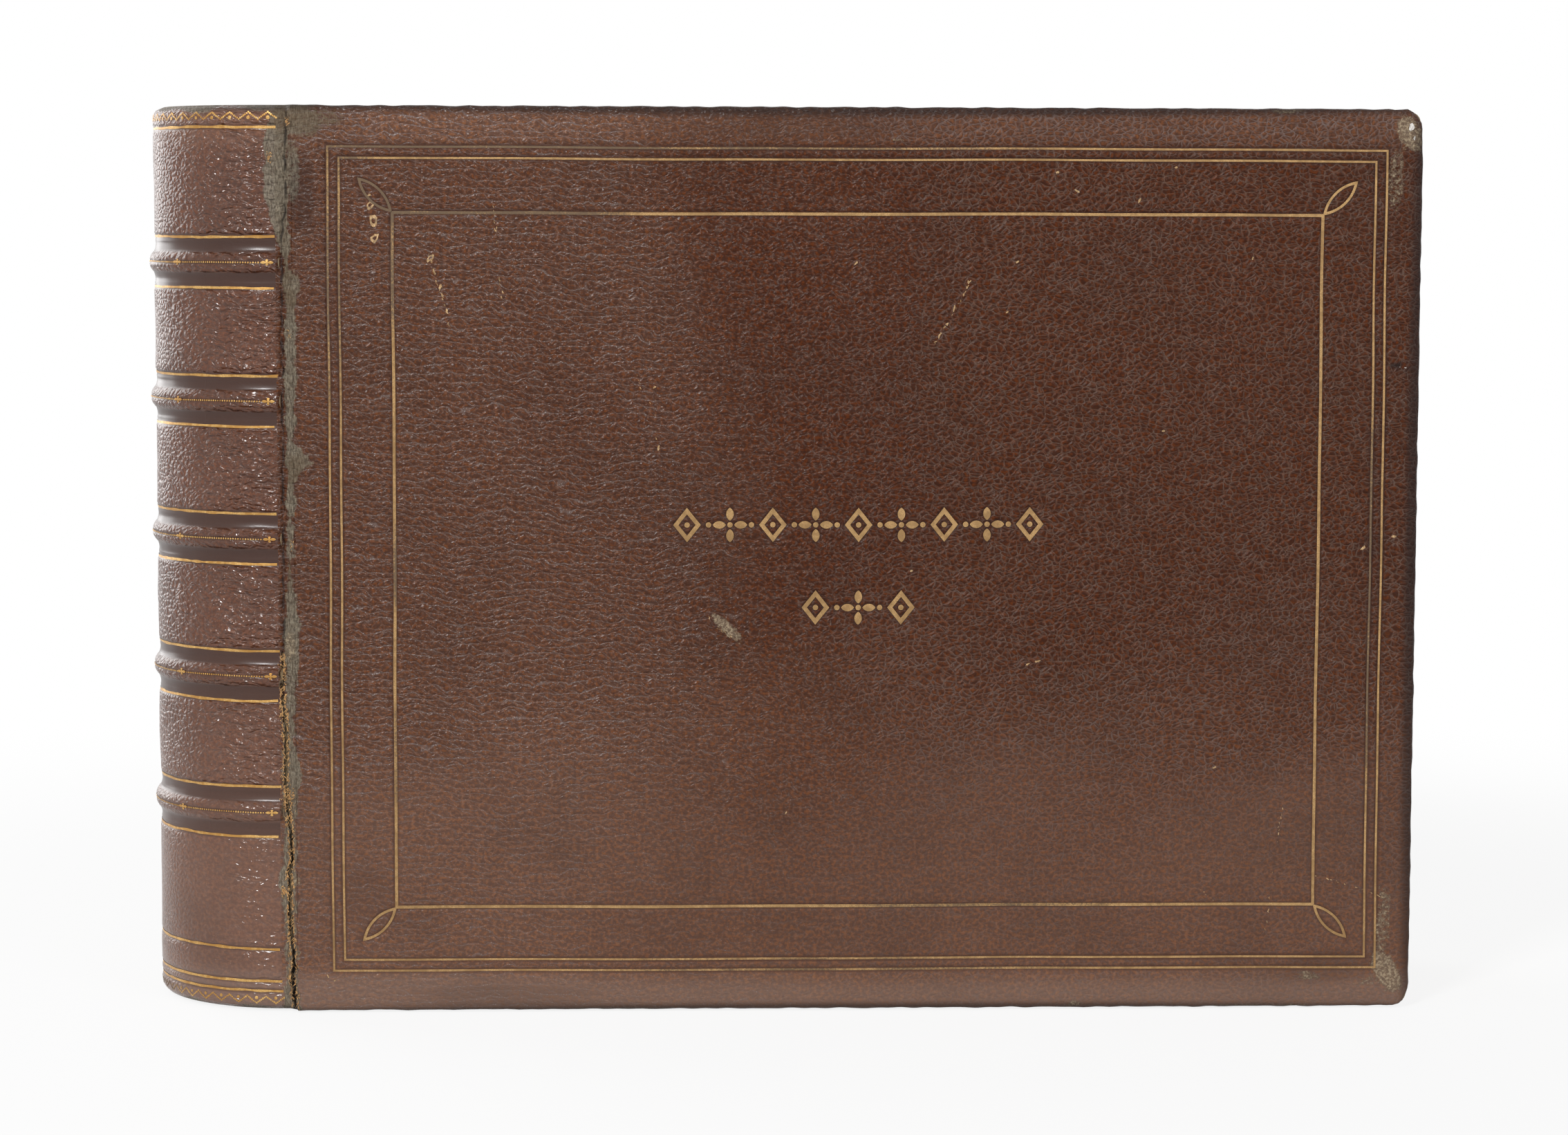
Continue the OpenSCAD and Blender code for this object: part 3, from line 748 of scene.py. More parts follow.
def paper_material(name, light, shade, layers=0.0):
    """Old paper or card with fibres and foxing; layers adds the edges of its sheets, across y."""
    s = Shader(name)
    place = s.place()
    cloud = s.noise(place, 0.016, 5.0, 0.55)
    fibre = s.noise(s.scaled(place, (1.0, 1.0, 0.3)), 1.6, 3.0, 0.65)
    colour = s.mix(s.step(cloud, 0.30, 0.75, 0.05, 0.38), light, shade)
    colour = s.mix(s.step(fibre, 0.50, 0.75, 0.0, 0.45), colour, shade)
    spots = s.less(s.step(s.cells(place, 0.045, "F1", "3D"), 0.02, 0.10))
    colour = s.mix(s.times(spots, s.step(cloud, 0.46, 0.60, 0.0, 0.45)), colour, rgb(160, 120, 76))
    height = s.times(fibre, 0.04)
    if layers:
        sheets = s.noise(s.scaled(place, (0.008, 3.4, 0.008)), 1.0, 3.0, 0.7)
        colour = s.mix(s.times(s.step(sheets, 0.45, 0.62), layers), colour, rgb(150, 122, 84))
        height = s.add(height, s.times(sheets, 0.10))
    return s.finish(colour, 0.85, s.bump(height), specular=0.2)


def cloth_material(name, light, shade, pitch):
    """Plain woven cloth, its threads a pitch apart."""
    s = Shader(name)
    place = s.place()
    parts = s.parts(place)
    across = s.math("SINE", s.times(s.add(parts[0], parts[1]), math.tau / pitch))
    up = s.math("SINE", s.times(parts[2], math.tau / pitch))
    thread = s.math("ABSOLUTE", s.times(across, up))
    uneven = s.noise(place, 0.4, 3.0, 0.6)
    colour = s.mix(s.add(s.times(thread, 0.6), s.times(uneven, 0.3)), shade, light)
    return s.finish(colour, 0.9, s.bump(s.times(thread, 0.12)), specular=0.15)


def silk_material():
    """Head band silk: two colours of thread, wound by turns."""
    s = Shader("wound_silk")
    wound = s.value("wound").outputs["Fac"]
    fibre = s.noise(s.scaled(s.place(), (2.0, 2.0, 0.6)), 2.5, 2.0, 0.6)
    red = s.mix(fibre, rgb(110, 40, 30), rgb(142, 62, 46))
    pale = s.mix(fibre, rgb(196, 178, 140), rgb(224, 208, 172))
    colour = s.mix(s.step(wound, 0.45, 0.55), red, pale)
    return s.finish(colour, 0.5, s.bump(s.times(fibre, 0.05)), specular=0.3)


def fibre_material(name, light, shade):
    """Torn leather and paper fibres, standing up where the surface is broken. In white it also serves for
    painted highlights.
    """
    s = Shader(name)
    place = s.place()
    hair = s.noise(s.scaled(place, (1.0, 1.0, 0.4)), 2.6, 4.0, 0.75)
    clumps = s.noise(place, 0.5, 2.0, 0.6)
    colour = s.mix(s.step(hair, 0.35, 0.68), shade, light)
    colour = s.mix(s.step(clumps, 0.45, 0.70, 0.0, 0.6), colour, rgb(92, 78, 62))
    return s.finish(colour, 0.85, s.bump(s.times(hair, 0.20)), specular=0.15)


FLOOR_LIFT = 0.86


def floor_material():
    """A plain pale floor. It shows a little lighter to the camera and fades to plain white."""
    s = Shader("pale_floor")
    place = s.node("TexCoord").outputs["Object"]
    far = s.step(s.node("VectorMath", {0: place}, operation="LENGTH").outputs["Value"], 0.30, 0.70)
    surface = s.node("BsdfDiffuse", {"Color": (0.86, 0.86, 0.86, 1.0)}).outputs[0]
    return s.white_or(surface, s.blend(far, FLOOR_LIFT, 1.0))


# Leather pieces

def cover_lines(low, size, loops, insets, ornament):
    """Grid lines across the front cover, closer at its loops, its rules and the ornament."""
    near, far = min(loops), max(loops)
    fine = [(near - 11, near + 1, 0.55), (far - 1, far + 11, 0.55)] + ornament
    rules = [inset + RULE_W / 2 for inset in insets]
    rules += [size - r for r in rules]
    return grid_lines(low, size - EDGE_R, 1.9, fine, rules, (-1.15, -0.6, 0.6, 1.15))


def cover_rows():
    ornament = [(v - 6.0, v + 6.0, 0.5) for v, _ in MOTIF_ROWS]
    loops = [v for _, v, _, _ in loop_corners()]
    return cover_lines(EDGE_R, HEIGHT, loops, [end for _, end in FRAMES], ornament)


def cover_columns():
    reach = MOTIF_ROWS[0][1] * MOTIF_PITCH / 2 + 1.0
    ornament = [(COVER_W / 2 - reach, COVER_W / 2 + reach, 0.52)]
    loops = [u for u, _, _, _ in loop_corners()]
    return cover_lines(0.15, COVER_W, loops, [side for side, _ in FRAMES], ornament)


def rounded_plan(u, v):
    """Plan of a cover's flat face: a grid whose two fore-edge corners are rounded."""
    c = CORNER_R - EDGE_R
    a = np.clip((u - (COVER_W - CORNER_R)) / c, 0.0, 1.0)
    b = np.clip((np.abs(v - HEIGHT / 2) - (HEIGHT / 2 - CORNER_R)) / c, 0.0, 1.0)
    round_u = u - c * a * (1.0 - np.sqrt(1.0 - b * b / 2.0))
    round_v = v - np.sign(v - HEIGHT / 2) * c * b * (1.0 - np.sqrt(1.0 - a * a / 2.0))
    return round_u, round_v


def cover_out(u, v, gap, plain):
    """How far the leather on a cover stands proud: soft waves, grooves, dents and worn corners."""
    inland = smooth(u, 3.0, 12.0)
    out = 0.07 * waves(u, v, 46.0, 31) * inland - groove(gap)
    corner = from_corner(u, v)
    out -= (0.22 + 0.12 * waves(u, v, 5.0, 32)) * fall(corner, 2.0, 9.0)
    out -= 0.55 * fall(COVER_W - u, EDGE_R, 4.5) ** 1.5
    out -= 0.20 * fall(from_end(v), EDGE_R, 3.0) ** 1.5
    if not plain:
        out -= 0.35 * marks(u, v, DARK_MARKS[:1]) + 0.16 * marks(u, v, SCUFF_MARKS[12:14])
    return out


def rim_profile():
    """Outset and depth of a cover's rounded edge, from its face round to its inner side."""
    profile = []
    for angle in np.radians([18, 36, 54, 72, 90]):
        profile.append((EDGE_R * math.sin(angle), EDGE_R * (1 - math.cos(angle))))
    profile.append((EDGE_R, COVER_T / 2))
    for angle in np.radians([0, 18, 36, 54, 72, 90]):
        profile.append((EDGE_R * math.cos(angle), COVER_T - EDGE_R * (1 - math.sin(angle))))
    return profile


def cover_leather(name, body, side, replaces, plain):
    """The leather over one cover, closed round the board: face, rounded edges and inner side."""
    us = cover_columns() if not plain else grid_lines(0.15, COVER_W - EDGE_R, 2.0)
    vs = cover_rows() if not plain else grid_lines(EDGE_R, HEIGHT - EDGE_R, 2.0)
    u, v = np.meshgrid(us, vs)
    u, v = rounded_plan(u, v)
    rows, columns = u.shape
    gap = tooling_gap(u, v) if not plain else np.full(u.shape, NO_TOOLING)
    out = cover_out(u, v, gap, plain)
    points = [cover_point(u, v, out, side).reshape(-1, 3)]
    sheet = [np.stack([u, v], -1).reshape(-1, 2)]
    gaps = [gap.ravel()]
    faces = grid_faces(rows, columns, flip=side > 0).tolist()

    # The edge, in loops that start and end at the spine side
    bottom = np.arange(columns)
    right = np.arange(1, rows) * columns + columns - 1
    top = (rows - 1) * columns + np.arange(columns - 2, -1, -1)
    last = np.concatenate([bottom, right, top])
    edge_u = u.ravel()[last]
    edge_v = v.ravel()[last]
    edge_out = out.ravel()[last]
    away_u = edge_u - np.minimum(edge_u, COVER_W - CORNER_R)
    away_v = edge_v - np.clip(edge_v, CORNER_R, HEIGHT - CORNER_R)
    length = np.hypot(away_u, away_v)
    away_u /= length
    away_v /= length
    dent = 0.15 * (1.0 + waves(edge_u, edge_v, 4.0, 33))
    dent *= fall(from_corner(edge_u, edge_v), 3.0, 14.0)
    nick = 0.10 * (1.0 + waves(edge_u, edge_v, 9.0, 34))
    count = len(last)
    start = rows * columns
    walked = 0.0
    previous = (0.0, 0.0)
    loops = [(outset, depth, None) for outset, depth in rim_profile()]
    loops += [(0.0, COVER_T, inset) for inset in (3.0, 6.5, 15.0)]
    for outset, depth, inset in loops:
        walked += math.hypot(outset - previous[0], depth - previous[1]) if inset is None else inset
        previous = (outset, depth)
        if inset is None:
            pull = outset / EDGE_R * (dent + nick)
            loop_u = edge_u + away_u * (outset - pull)
            loop_v = edge_v + away_v * (outset - pull)
        else:
            loop_u = edge_u * (COVER_W - inset) / (COVER_W - EDGE_R)
            loop_v = HEIGHT / 2 + (edge_v - HEIGHT / 2) * (HEIGHT / 2 - inset) / (HEIGHT / 2 - EDGE_R)
        keep = np.clip(1.0 - depth / COVER_T, 0.0, 1.0)
        points.append(cover_point(loop_u, loop_v, edge_out * keep - depth, side))
        sheet.append(np.stack([edge_u + away_u * walked, edge_v + away_v * walked], -1))
        gaps.append(np.full(count, NO_TOOLING))
        ring = np.arange(start, start + count)
        quads = np.stack([last[:-1], ring[:-1], ring[1:], last[1:]], -1)
        faces += (quads[:, ::-1] if side > 0 else quads).tolist()
        last = ring
        start += count

    # The inner side and the spine edge are flat
    cap = last.tolist()
    faces.append(cap if side < 0 else cap[::-1])
    first_loop = rows * columns
    tops = [first_loop + i * count + count - 1 for i in range(len(loops))]
    bottoms = [first_loop + i * count for i in range(len(loops))]
    wall = (np.arange(rows) * columns).tolist() + tops + bottoms[::-1]
    faces.append(wall if side > 0 else wall[::-1])

    u, v = np.concatenate(sheet).T
    values = leather_values(u, v, np.concatenate(gaps), plain=plain)
    if plain:
        values["hide"][:, 0] = REAR_COVER_U - u
        edge = np.minimum(COVER_W - u, from_end(v))
        values["wear_and_painted_light"][:, 1] = 0.9 * fall(from_corner(u, v), 3.0, 12.0) + 0.45 * fall(edge, -0.5, 1.5)
        soft = waves(u, v, 120.0, 35) + 0.5 * waves(u, v, 45.0, 36)
        values["look"][:, 1] = 0.0
        values["look"][:, 2] = 0.60 + 0.06 * soft + 0.35 * fall(edge, 0.0, 14.0)
        values["calm"][:] = 0.0
    add_piece(name, np.concatenate(points), faces, body, LEATHER, values, replaces)


def band_shape(v):
    """Height of the ridges and hollows of the raised bands, and how burnished the leather is."""
    out = np.zeros_like(v)
    burnish = np.zeros_like(v)
    for z in BANDS:
        away = np.abs(v - z)
        t = np.clip(away / (BAND_W / 2), 0.0, 1.0)
        out += BAND_RISE * np.cos(t * math.pi / 2) ** 0.75
        across = np.clip((away - BAND_W / 2) / (BAND_RULE - BAND_W / 2), 0.0, 1.0)
        out -= 0.42 * np.sin(across * math.pi) ** 1.2
        hollow = smooth(away, 2.4, 3.2) * fall(away, BAND_RULE - 0.6, BAND_RULE)
        burnish = np.maximum(burnish, hollow)
        burnish = np.maximum(burnish, 0.25 * fall(away, 2.2, 3.0))
    return out, burnish


def spine_out(u, v):
    """How far the spine's leather stands out from its plain round, without the grooves."""
    ridges, _ = band_shape(v)
    return ridges + 0.10 * waves(u, v, 34.0, 41) + 0.03 * waves(u, v, 9.0, 42)


def spine_gap(v):
    """Distance to the nearest gilt rule on the spine."""
    gap = np.full(np.shape(v), NO_TOOLING)
    for z in SPINE_RULES:
        gap = np.minimum(gap, np.abs(v - z) - RULE_W / 2)
    for z in BANDS:
        gap = np.minimum(gap, np.abs(v - z) - CROWN_LINE_W / 2)
    return gap


def edge_drop(v, radius):
    """How far the surface falls back at a height, over a rounded head or tail edge."""
    t = np.clip(radius - from_end(v), 0.0, radius)
    return radius - np.sqrt(radius ** 2 - t ** 2)


def flat_share(drop):
    """1 on the flat of the leather and 0 where it has fallen back over an edge."""
    return fall(drop, 0.5, 3.0)


def spine_rows():
    """Heights of the rows up the spine."""
    fine = [(z - 8.2, z + 8.2, 0.55) for z in BANDS] + [(0.0, 9.5, 0.5), (252.5, 262.0, 0.5)]
    return grid_lines(0.0, HEIGHT, 1.5, fine, SPINE_RULES, (-1.1, -0.55, 0.55, 1.1))


def turned_in(u, vs, radius):
    """Grid from end to end, turned in at both: u, height, the sheet's own v, and depth."""
    inner = np.array([SPINE_SKIN_T, 0.0])
    heights = np.concatenate([inner, vs, HEIGHT - inner[::-1]])
    grid_u, v = np.meshgrid(u, heights)
    depth = edge_drop(v, np.broadcast_to(radius, v.shape))
    depth[:2] = depth[-2:] = SPINE_R - SPRING_R
    sheet_v = v + np.where(v > HEIGHT / 2, depth, -depth)
    return grid_u, v, sheet_v, depth


def spine_leather(vs):
    """The leather on the round of the spine, from joint to joint."""
    far_u = REAR_JOINT_U + (JOINT_U - STRIP_SPINE_U)
    us = np.append(np.arange(STRIP_SPINE_U, far_u, -0.85), far_u)[::-1]
    u, v, sheet_v, depth = turned_in(us, vs, SPINE_EDGE_R)
    gap = spine_gap(v)
    keep = flat_share(depth)
    out = (spine_out(u, v) - groove(gap)) * keep
    points = spine_point(u, v, SPINE_R + out - depth).reshape(-1, 3)
    _, burnish = band_shape(v)
    values = leather_values(u.ravel(), sheet_v.ravel(), gap.ravel(), burnish.ravel())
    ends = fall(from_end(v) - 0.9 * waves(u, v, 13.0, 43), 0.4, 2.4)
    raise_mark(values, 0, 0.75 * ends)
    raise_mark(values, 1, 0.25 * ends)
    values["look"][:, 1] = smooth(u.ravel(), -48.0, -16.0)
    faces = grid_faces(*u.shape)
    add_piece("spine_skin", points, faces, "book_block", SPINE_LEATHER, values,
              ["spine_leather"])


CRACK = np.array([
    # v, place of the crease along the front joint, and width of the crack in it
    (-1.0, -0.8, 1.3), (4.2, -0.6, 1.1), (9.4, -1.5, 0.9), (13.0, -0.9, 1.0), (18.2, -1.2, 0.9),
    (23.0, -1.6, 0.9), (28.2, -1.8, 0.7), (32.2, -2.0, 0.8), (37.0, -1.6, 0.9), (40.2, -2.1, 0.8),
    (44.6, -1.2, 0.6), (52.2, -1.6, 0.7), (56.2, -2.0, 0.6), (67.0, -2.9, 0.5), (75.0, -2.8, 0.6),
    (84.0, -2.9, 0.6), (90.0, -3.5, 0.45), (98.0, -3.7, 0.4), (104.0, -3.5, 0.3), (112.0, -3.1, 0.0),
    (150.0, -3.0, 0.0), (200.0, -2.9, 0.0), (222.0, -2.9, 0.0), (232.0, -1.8, 0.0),
    (263.0, -1.3, 0.0)])


def joint_rise(u):
    """0 at the spine's level and 1 at the cover's, across a joint."""
    return smooth(u, -2.6, 0.9)


def blend_joint(piece):
    """Bakes the piece's placement into its points."""
    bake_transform(piece)


def joint_strip(name, side, vs, cracked):
    """The leather in a joint: from the spine down into its crease and up over the cover's edge."""
    step = 0.2
    us = np.arange(STRIP_SPINE_U, STRIP_COVER_U + step / 2, step)
    middles = (vs[1:] + vs[:-1])[np.diff(vs) > 1.0] / 2
    rise = joint_rise(us)
    u, v, sheet_v, depth = turned_in(us, np.sort(np.append(vs, middles)),
                                     SPINE_EDGE_R + (EDGE_R - SPINE_EDGE_R) * rise)
    sheet_u = u if side < 0 else REAR_COVER_U - u
    on_spine = SPINE_R + spine_out(sheet_u, v) - groove(spine_gap(v))
    fold = at_height(CRACK, v, 1)
    crease = -0.65 * np.exp(-((u - fold) / 0.7) ** 2)
    wrinkle = 0.10 * waves(u * 2.0, v, 5.0, 51) * smooth(u, STRIP_SPINE_U, -3.6)
    bands = smooth(u, STRIP_SPINE_U, -3.4)
    low = on_spine * (1.0 - bands) + SPINE_R * bands
    high = FACE_Y + 0.10 - 0.28 * smooth(u, 0.9, STRIP_COVER_U)
    wrinkle *= fall(u, 0.6, 1.8)
    fade_in = smooth(u, STRIP_SPINE_U, STRIP_SPINE_U + 0.9)
    radius = low * (1.0 - rise) + high * rise + (crease + wrinkle) * fade_in

    scuff_and_glint = np.zeros_like(u)
    # Painted shade: a dark line along the crease of the joint
    line = fold + 0.22 * ripple(v, 6.0, 57)
    dark = (0.85 + 0.4 * ripple(v, 5.0, 58)) * np.exp(-((u - line) / 0.40) ** 2)
    if cracked:
        ragged = 0.22 * ripple(v, 3.1, 52) + 0.14 * ripple(v, 1.3, 53)
        middle = fold + ragged
        width = at_height(CRACK, v, 2)
        width = width * (1.0 + 0.5 * ripple(v, 4.3, 54))
        away = np.abs(u - middle)
        is_open = smooth(width, 0.10, 0.35)
        inside = fall(away, width * 0.35, width * 0.5 + 0.16) * is_open
        lip = np.exp(-((away - width * 0.5 - 0.35) / 0.28) ** 2) * is_open
        radius -= 1.1 * inside
        radius += 0.16 * lip * (1.0 + 0.8 * waves(v, u, 2.2, 55))
        # Painted shade inside the open crack
        dark = np.maximum(dark * (1.0 - is_open), 1.6 * inside)
        # Painted highlights: glints beside the crease, painted in the pale scuff colour
        glint = smooth(waves(v, 2.0 * u, 2.4, 56), 0.6, 1.2)
        scuff_and_glint = np.maximum(0.95 * lip * (1.0 - inside), 0.9 * glint * np.exp(-((u - fold - 0.8) / 0.5) ** 2))
    keep = flat_share(depth)
    radius = radius * keep + (SPINE_R + (FACE_Y - SPINE_R) * rise) * (1.0 - keep) - depth

    # The round of the spine at the strip's own edge, and flat from there to the cover
    shown = np.minimum(u, JOINT_U)
    angle = (JOINT_U - shown) / SPINE_R
    x = SPINE_X - radius * np.sin(angle) + np.maximum(u - JOINT_U, 0.0)
    points = np.stack([x, side * radius * np.cos(angle), v], -1).reshape(-1, 3)
    values = leather_values(sheet_u.ravel(), sheet_v.ravel(), spine_gap(v).ravel() + 1.5,
                            plain=side > 0)
    raise_mark(values, 1, scuff_and_glint)
    raise_mark(values, 2, dark)
    if side > 0:
        values["wear_and_painted_light"][:, 0] = 0.35
        values["look"][:, 1] = 0.0
        values["look"][:, 2] = 0.7
    faces = grid_faces(*u.shape, flip=side > 0)
    blend_joint(add_piece(name, points, faces, None, LEATHER, values))


# Gilding

# How much wider the inner rule is drawn on each side, to read as in the photo
RULE_SPREAD = 0.14


def frame_ring(shapes, side, end):
    """One rule round the front cover, its corners mitred."""
    def outline(inset):
        u0, u1 = side + inset, COVER_W - side - inset
        v0, v1 = end + inset, HEIGHT - end - inset
        corners = [(u0, v0), (u1, v0), (u1, v1), (u0, v1), (u0, v0)]
        points = []
        for (a, b), (c, d), count in zip(corners, corners[1:], (160, 128, 160, 128)):
            steps = np.linspace(0.0, 1.0, count, endpoint=False)
            points += [(a + (c - a) * t, b + (d - b) * t) for t in steps]
        return points
    spread = RULE_SPREAD if side > 20 else 0.0
    outer, inner = outline(-spread), outline(RULE_W + spread)
    rng = np.random.RandomState(int(side * 10))
    thin = np.convolve(rng.uniform(0.0, 0.26, len(outer) + 8), np.ones(9) / 9, "valid")
    eased = [(ou + (iu - ou) * t, ov + (iv - ov) * t)
             for (ou, ov), (iu, iv), t in zip(outer, inner, thin)]
    shapes.ring(eased, inner)


def oval_outline(length, width, count=24):
    """Points round a pointed oval that lies along x."""
    r = (length ** 2 + width ** 2) / (4 * width)
    half = math.asin(length / 2 / r)
    turns = np.linspace(-half, half, count // 2, endpoint=False)
    upper = [(r * math.sin(t), r * math.cos(t) - r + width / 2) for t in turns]
    lower = [(-x, -y) for x, y in upper]
    return upper + lower


def turned(points, angle, u, v, su=1, sv=1):
    """Points turned by an angle, mirrored where su or sv is -1, and moved to (u, v)."""
    c, s = math.cos(angle), math.sin(angle)
    return [(u + su * (x * c - y * s), v + sv * (x * s + y * c)) for x, y in points]


def add_motif(shapes, kind, u, v):
    h = MOTIF / 2
    w = h * LOZENGE_WIDTH
    if kind == "lozenge":
        inner = 1.0 - MOTIF_LINE * math.hypot(h, w) / (h * w)
        steps = [(1 - t / 6, t / 6) for t in range(6)]
        quarter = [(w * a, h * b) for a, b in steps]
        outline = quarter + [(-w * b, h * a) for a, b in steps]
        outline += [(-w * a, -h * b) for a, b in steps] + [(w * b, -h * a) for a, b in steps]
        shapes.ring(turned(outline, 0, u, v), turned([(x * inner, y * inner) for x, y in outline], 0, u, v))
    elif kind == "petals":
        for quarter in range(4):
            angle = quarter * math.pi / 2
            reach = (MOTIF - PETAL_L) / 2
            middle = (u + reach * math.cos(angle), v + reach * math.sin(angle))
            shapes.fan(turned(oval_outline(PETAL_L, PETAL_W, 16), angle, *middle), middle, 0.10)
    shapes.dot(u, v, MOTIF_DOT / 2, 0.10, 12)


def cover_gilding():
    """The rules and corner loops, then the ornament, laid in the grooves of the front cover."""
    lines = Shapes()
    for side, end in FRAMES:
        frame_ring(lines, side, end)
    for corner in loop_corners():
        outlines = [[(x + LOOP_L / 2, y) for x, y in oval_outline(*size, 40)]
                    for size in ((LOOP_L, LOOP_W), LOOP_HOLE)]
        lines.ring(*(turned(outline, math.pi / 4, *corner) for outline in outlines))
    motifs = Shapes()
    for kind, u, v in motif_places():
        add_motif(motifs, kind, u, v)
    for name, shapes, node in (("cover_rules", lines, "front_gilding"),
                               ("cover_ornament", motifs, "front_ornament")):
        u, v, rise, faces = shapes.arrays()
        dx, dy = stray(u, v)
        u, v = u + dx, v + dy
        ground = cover_out(u, v, np.full(len(u), NO_TOOLING), False)
        out = ground - GROOVE_DEPTH + GILT_LIFT + rise
        worn = 0.11 + 0.42 * marks(u, v, GILT_WEAR)
        add_piece(name, cover_point(u, v, out, -1), faces, "front_cover", GILT,
                  {"worn": worn}, [node])


def zigzag(shapes, z, side):
    """A beaded zigzag round the spine, with a larger dot in each open bend."""
    count = int(ARC_L / ROLL_STEP)
    step = ARC_L / count
    rise = ROLL_H / 2 - 0.3
    rng = np.random.RandomState(61 + side)
    for i in range(count):
        left = JOINT_U - (i + 1) * step
        for t in np.linspace(0.0, 1.0, 12, endpoint=False):
            high = 1.0 - abs(2.0 * t - 1.0)
            v = z + side * rise * (2.0 * high - 1.0)
            shapes.dot(left + t * step, v + rng.uniform(-0.06, 0.06), rng.uniform(0.25, 0.34), 0.06, 6)
        shapes.dot(left + step / 2, z - side * rise * 0.55, rng.uniform(0.44, 0.56), 0.12, 9)


def small_cross(shapes, u, v):
    """Four short petals about a dot, on the crown of a band."""
    for quarter in range(4):
        angle = quarter * math.pi / 2
        long = 1.7 if quarter % 2 == 0 else 1.3
        middle = (u + 0.5 * long * math.cos(angle) * 1.2, v + 0.5 * long * math.sin(angle) * 1.2)
        shapes.fan(turned(oval_outline(long, 0.8, 12), angle, *middle), middle, 0.06)
    shapes.dot(u, v, 0.42, 0.10, 8)


def spine_gilding():
    """Rules, beaded zigzags and dotted crown lines round the spine."""
    shapes = Shapes()
    rng = np.random.RandomState(71)
    for z in SPINE_RULES:
        first = JOINT_U - rng.uniform(0.4, 1.8)
        us = np.linspace(first, REAR_JOINT_U + 1.0, 150)
        drift = 0.10 * ripple(us, 40.0, int(z)) + 0.05 * ripple(us, 9.0, int(z) + 1)
        widths = RULE_W * (1.0 + 0.18 * ripple(us, 6.0, int(z) + 2))
        shapes.ribbon(np.stack([us, z + drift], -1), widths)
    for z in BANDS:
        crosses = [JOINT_U - 3.3 - 30.0 * i for i in range(5)]
        for u in np.arange(JOINT_U - 2.0, REAR_JOINT_U + 1.5, -0.74):
            if min(abs(u - c) for c in crosses) > 2.0:
                shapes.dot(u, z + 0.05 * math.sin(u / 5.0), rng.uniform(0.22, 0.29), 0.08, 6)
        for u in crosses:
            small_cross(shapes, u, z)
    for z, side in ROLLS:
        zigzag(shapes, z, side)
    u, v, rise, faces = shapes.arrays()
    crown = np.min([np.abs(v - z) for z in BANDS], axis=0) < BAND_W / 2
    sunk = np.where(crown, 0.10, GROOVE_DEPTH - GILT_LIFT)
    in_roll = from_end(v) < 4.6
    sunk = np.where(in_roll, -0.05, sunk)
    drop = edge_drop(v, SPINE_EDGE_R)
    radius = SPINE_R + spine_out(u, v) * flat_share(drop) - drop - sunk + rise
    tail_fade = np.where(v < 5.0, smooth(-u, 18.0, 60.0) * 0.5, 0.0)
    worn = 0.25 * smooth(-u, 60.0, 110.0) + tail_fade
    add_piece("spine_gilt", spine_point(u, v, radius), faces, "book_block", SPINE_GILT,
              {"worn": worn}, ["spine_gilding"])


# Small marks that stand on the leather

FLECKS = (
    # u, v, length, width, angle
    (219.6, 243.4, 1.3, 0.7, 20), (225.2, 238.2, 2.0, 0.6, -30), (243.4, 235.6, 1.6, 0.7, 60),
    (253.8, 245.0, 1.1, 0.8, 0), (161.8, 217.4, 1.5, 0.6, 45), (208.2, 217.8, 1.3, 0.8, 10),
    (39.8, 218.6, 3.0, 1.6, 50), (42.6, 210.4, 1.8, 1.0, 75),
    (22.6, 233.6, 3.4, 2.2, 60), (23.6, 229.0, 3.8, 2.4, 100), (24.0, 224.2, 3.4, 2.4, 70),
    (22.4, 236.4, 1.3, 0.9, 30), (103.8, 181.6, 1.4, 0.6, 30), (105.0, 164.2, 1.5, 0.7, 80),
    (215.0, 102.2, 2.0, 0.7, 10), (212.2, 101.4, 1.4, 0.6, 25), (309.6, 135.2, 1.8, 0.9, 40),
    (318.6, 138.6, 1.5, 1.0, 0), (251.0, 169.2, 0.9, 0.7, 0), (9.0, 10.4, 1.2, 0.4, -60),
    (11.0, 9.2, 1.0, 0.4, 40), (178.2, 128.6, 1.0, 0.8, 30), (205.4, 203.4, 1.1, 0.5, 30),
    (276.2, 219.0, 1.2, 0.6, 80), (267.0, 71.0, 1.3, 0.6, 15), (142.0, 58.0, 1.0, 0.5, 65))
SCRATCHES = (
    # How many small flakes, how long they are, and points along each scratch
    (26, 1.2, ((195.8, 214.0), (192.4, 208.0), (188.6, 201.2), (184.0, 193.2))),
    (24, 1.3, ((39.6, 219.8), (41.4, 212.6), (43.6, 206.0), (45.0, 199.2))),
    (22, 0.9, ((57.6, 233.5), (59.0, 224.0), (58.8, 216.0), (60.4, 207.0))),
    (12, 0.9, ((118.0, 117.0), (122.0, 112.0), (126.6, 109.2))),
    (12, 0.8, ((98.0, 187.0), (100.4, 180.0), (103.6, 176.0), (104.6, 164.0))),
    (18, 0.8, ((287.2, 60.0), (285.4, 44.0), (283.2, 30.0), (282.6, 18.0))),
    (16, 0.8, ((293.6, 39.8), (303.0, 37.4), (312.0, 34.6), (318.0, 32.0))),
    (7, 0.7, ((262.4, 35.8), (268.4, 30.8))))

# Painted highlights: white glint spots on the top fore-edge corner and in the dent, listed as the flecks are
PAINTED_GLINTS = ((321.7, 256.6, 2.9, 2.0, 60), (322.6, 253.6, 1.4, 0.7, 80), (320.3, 187.6, 2.3, 0.5, -4))


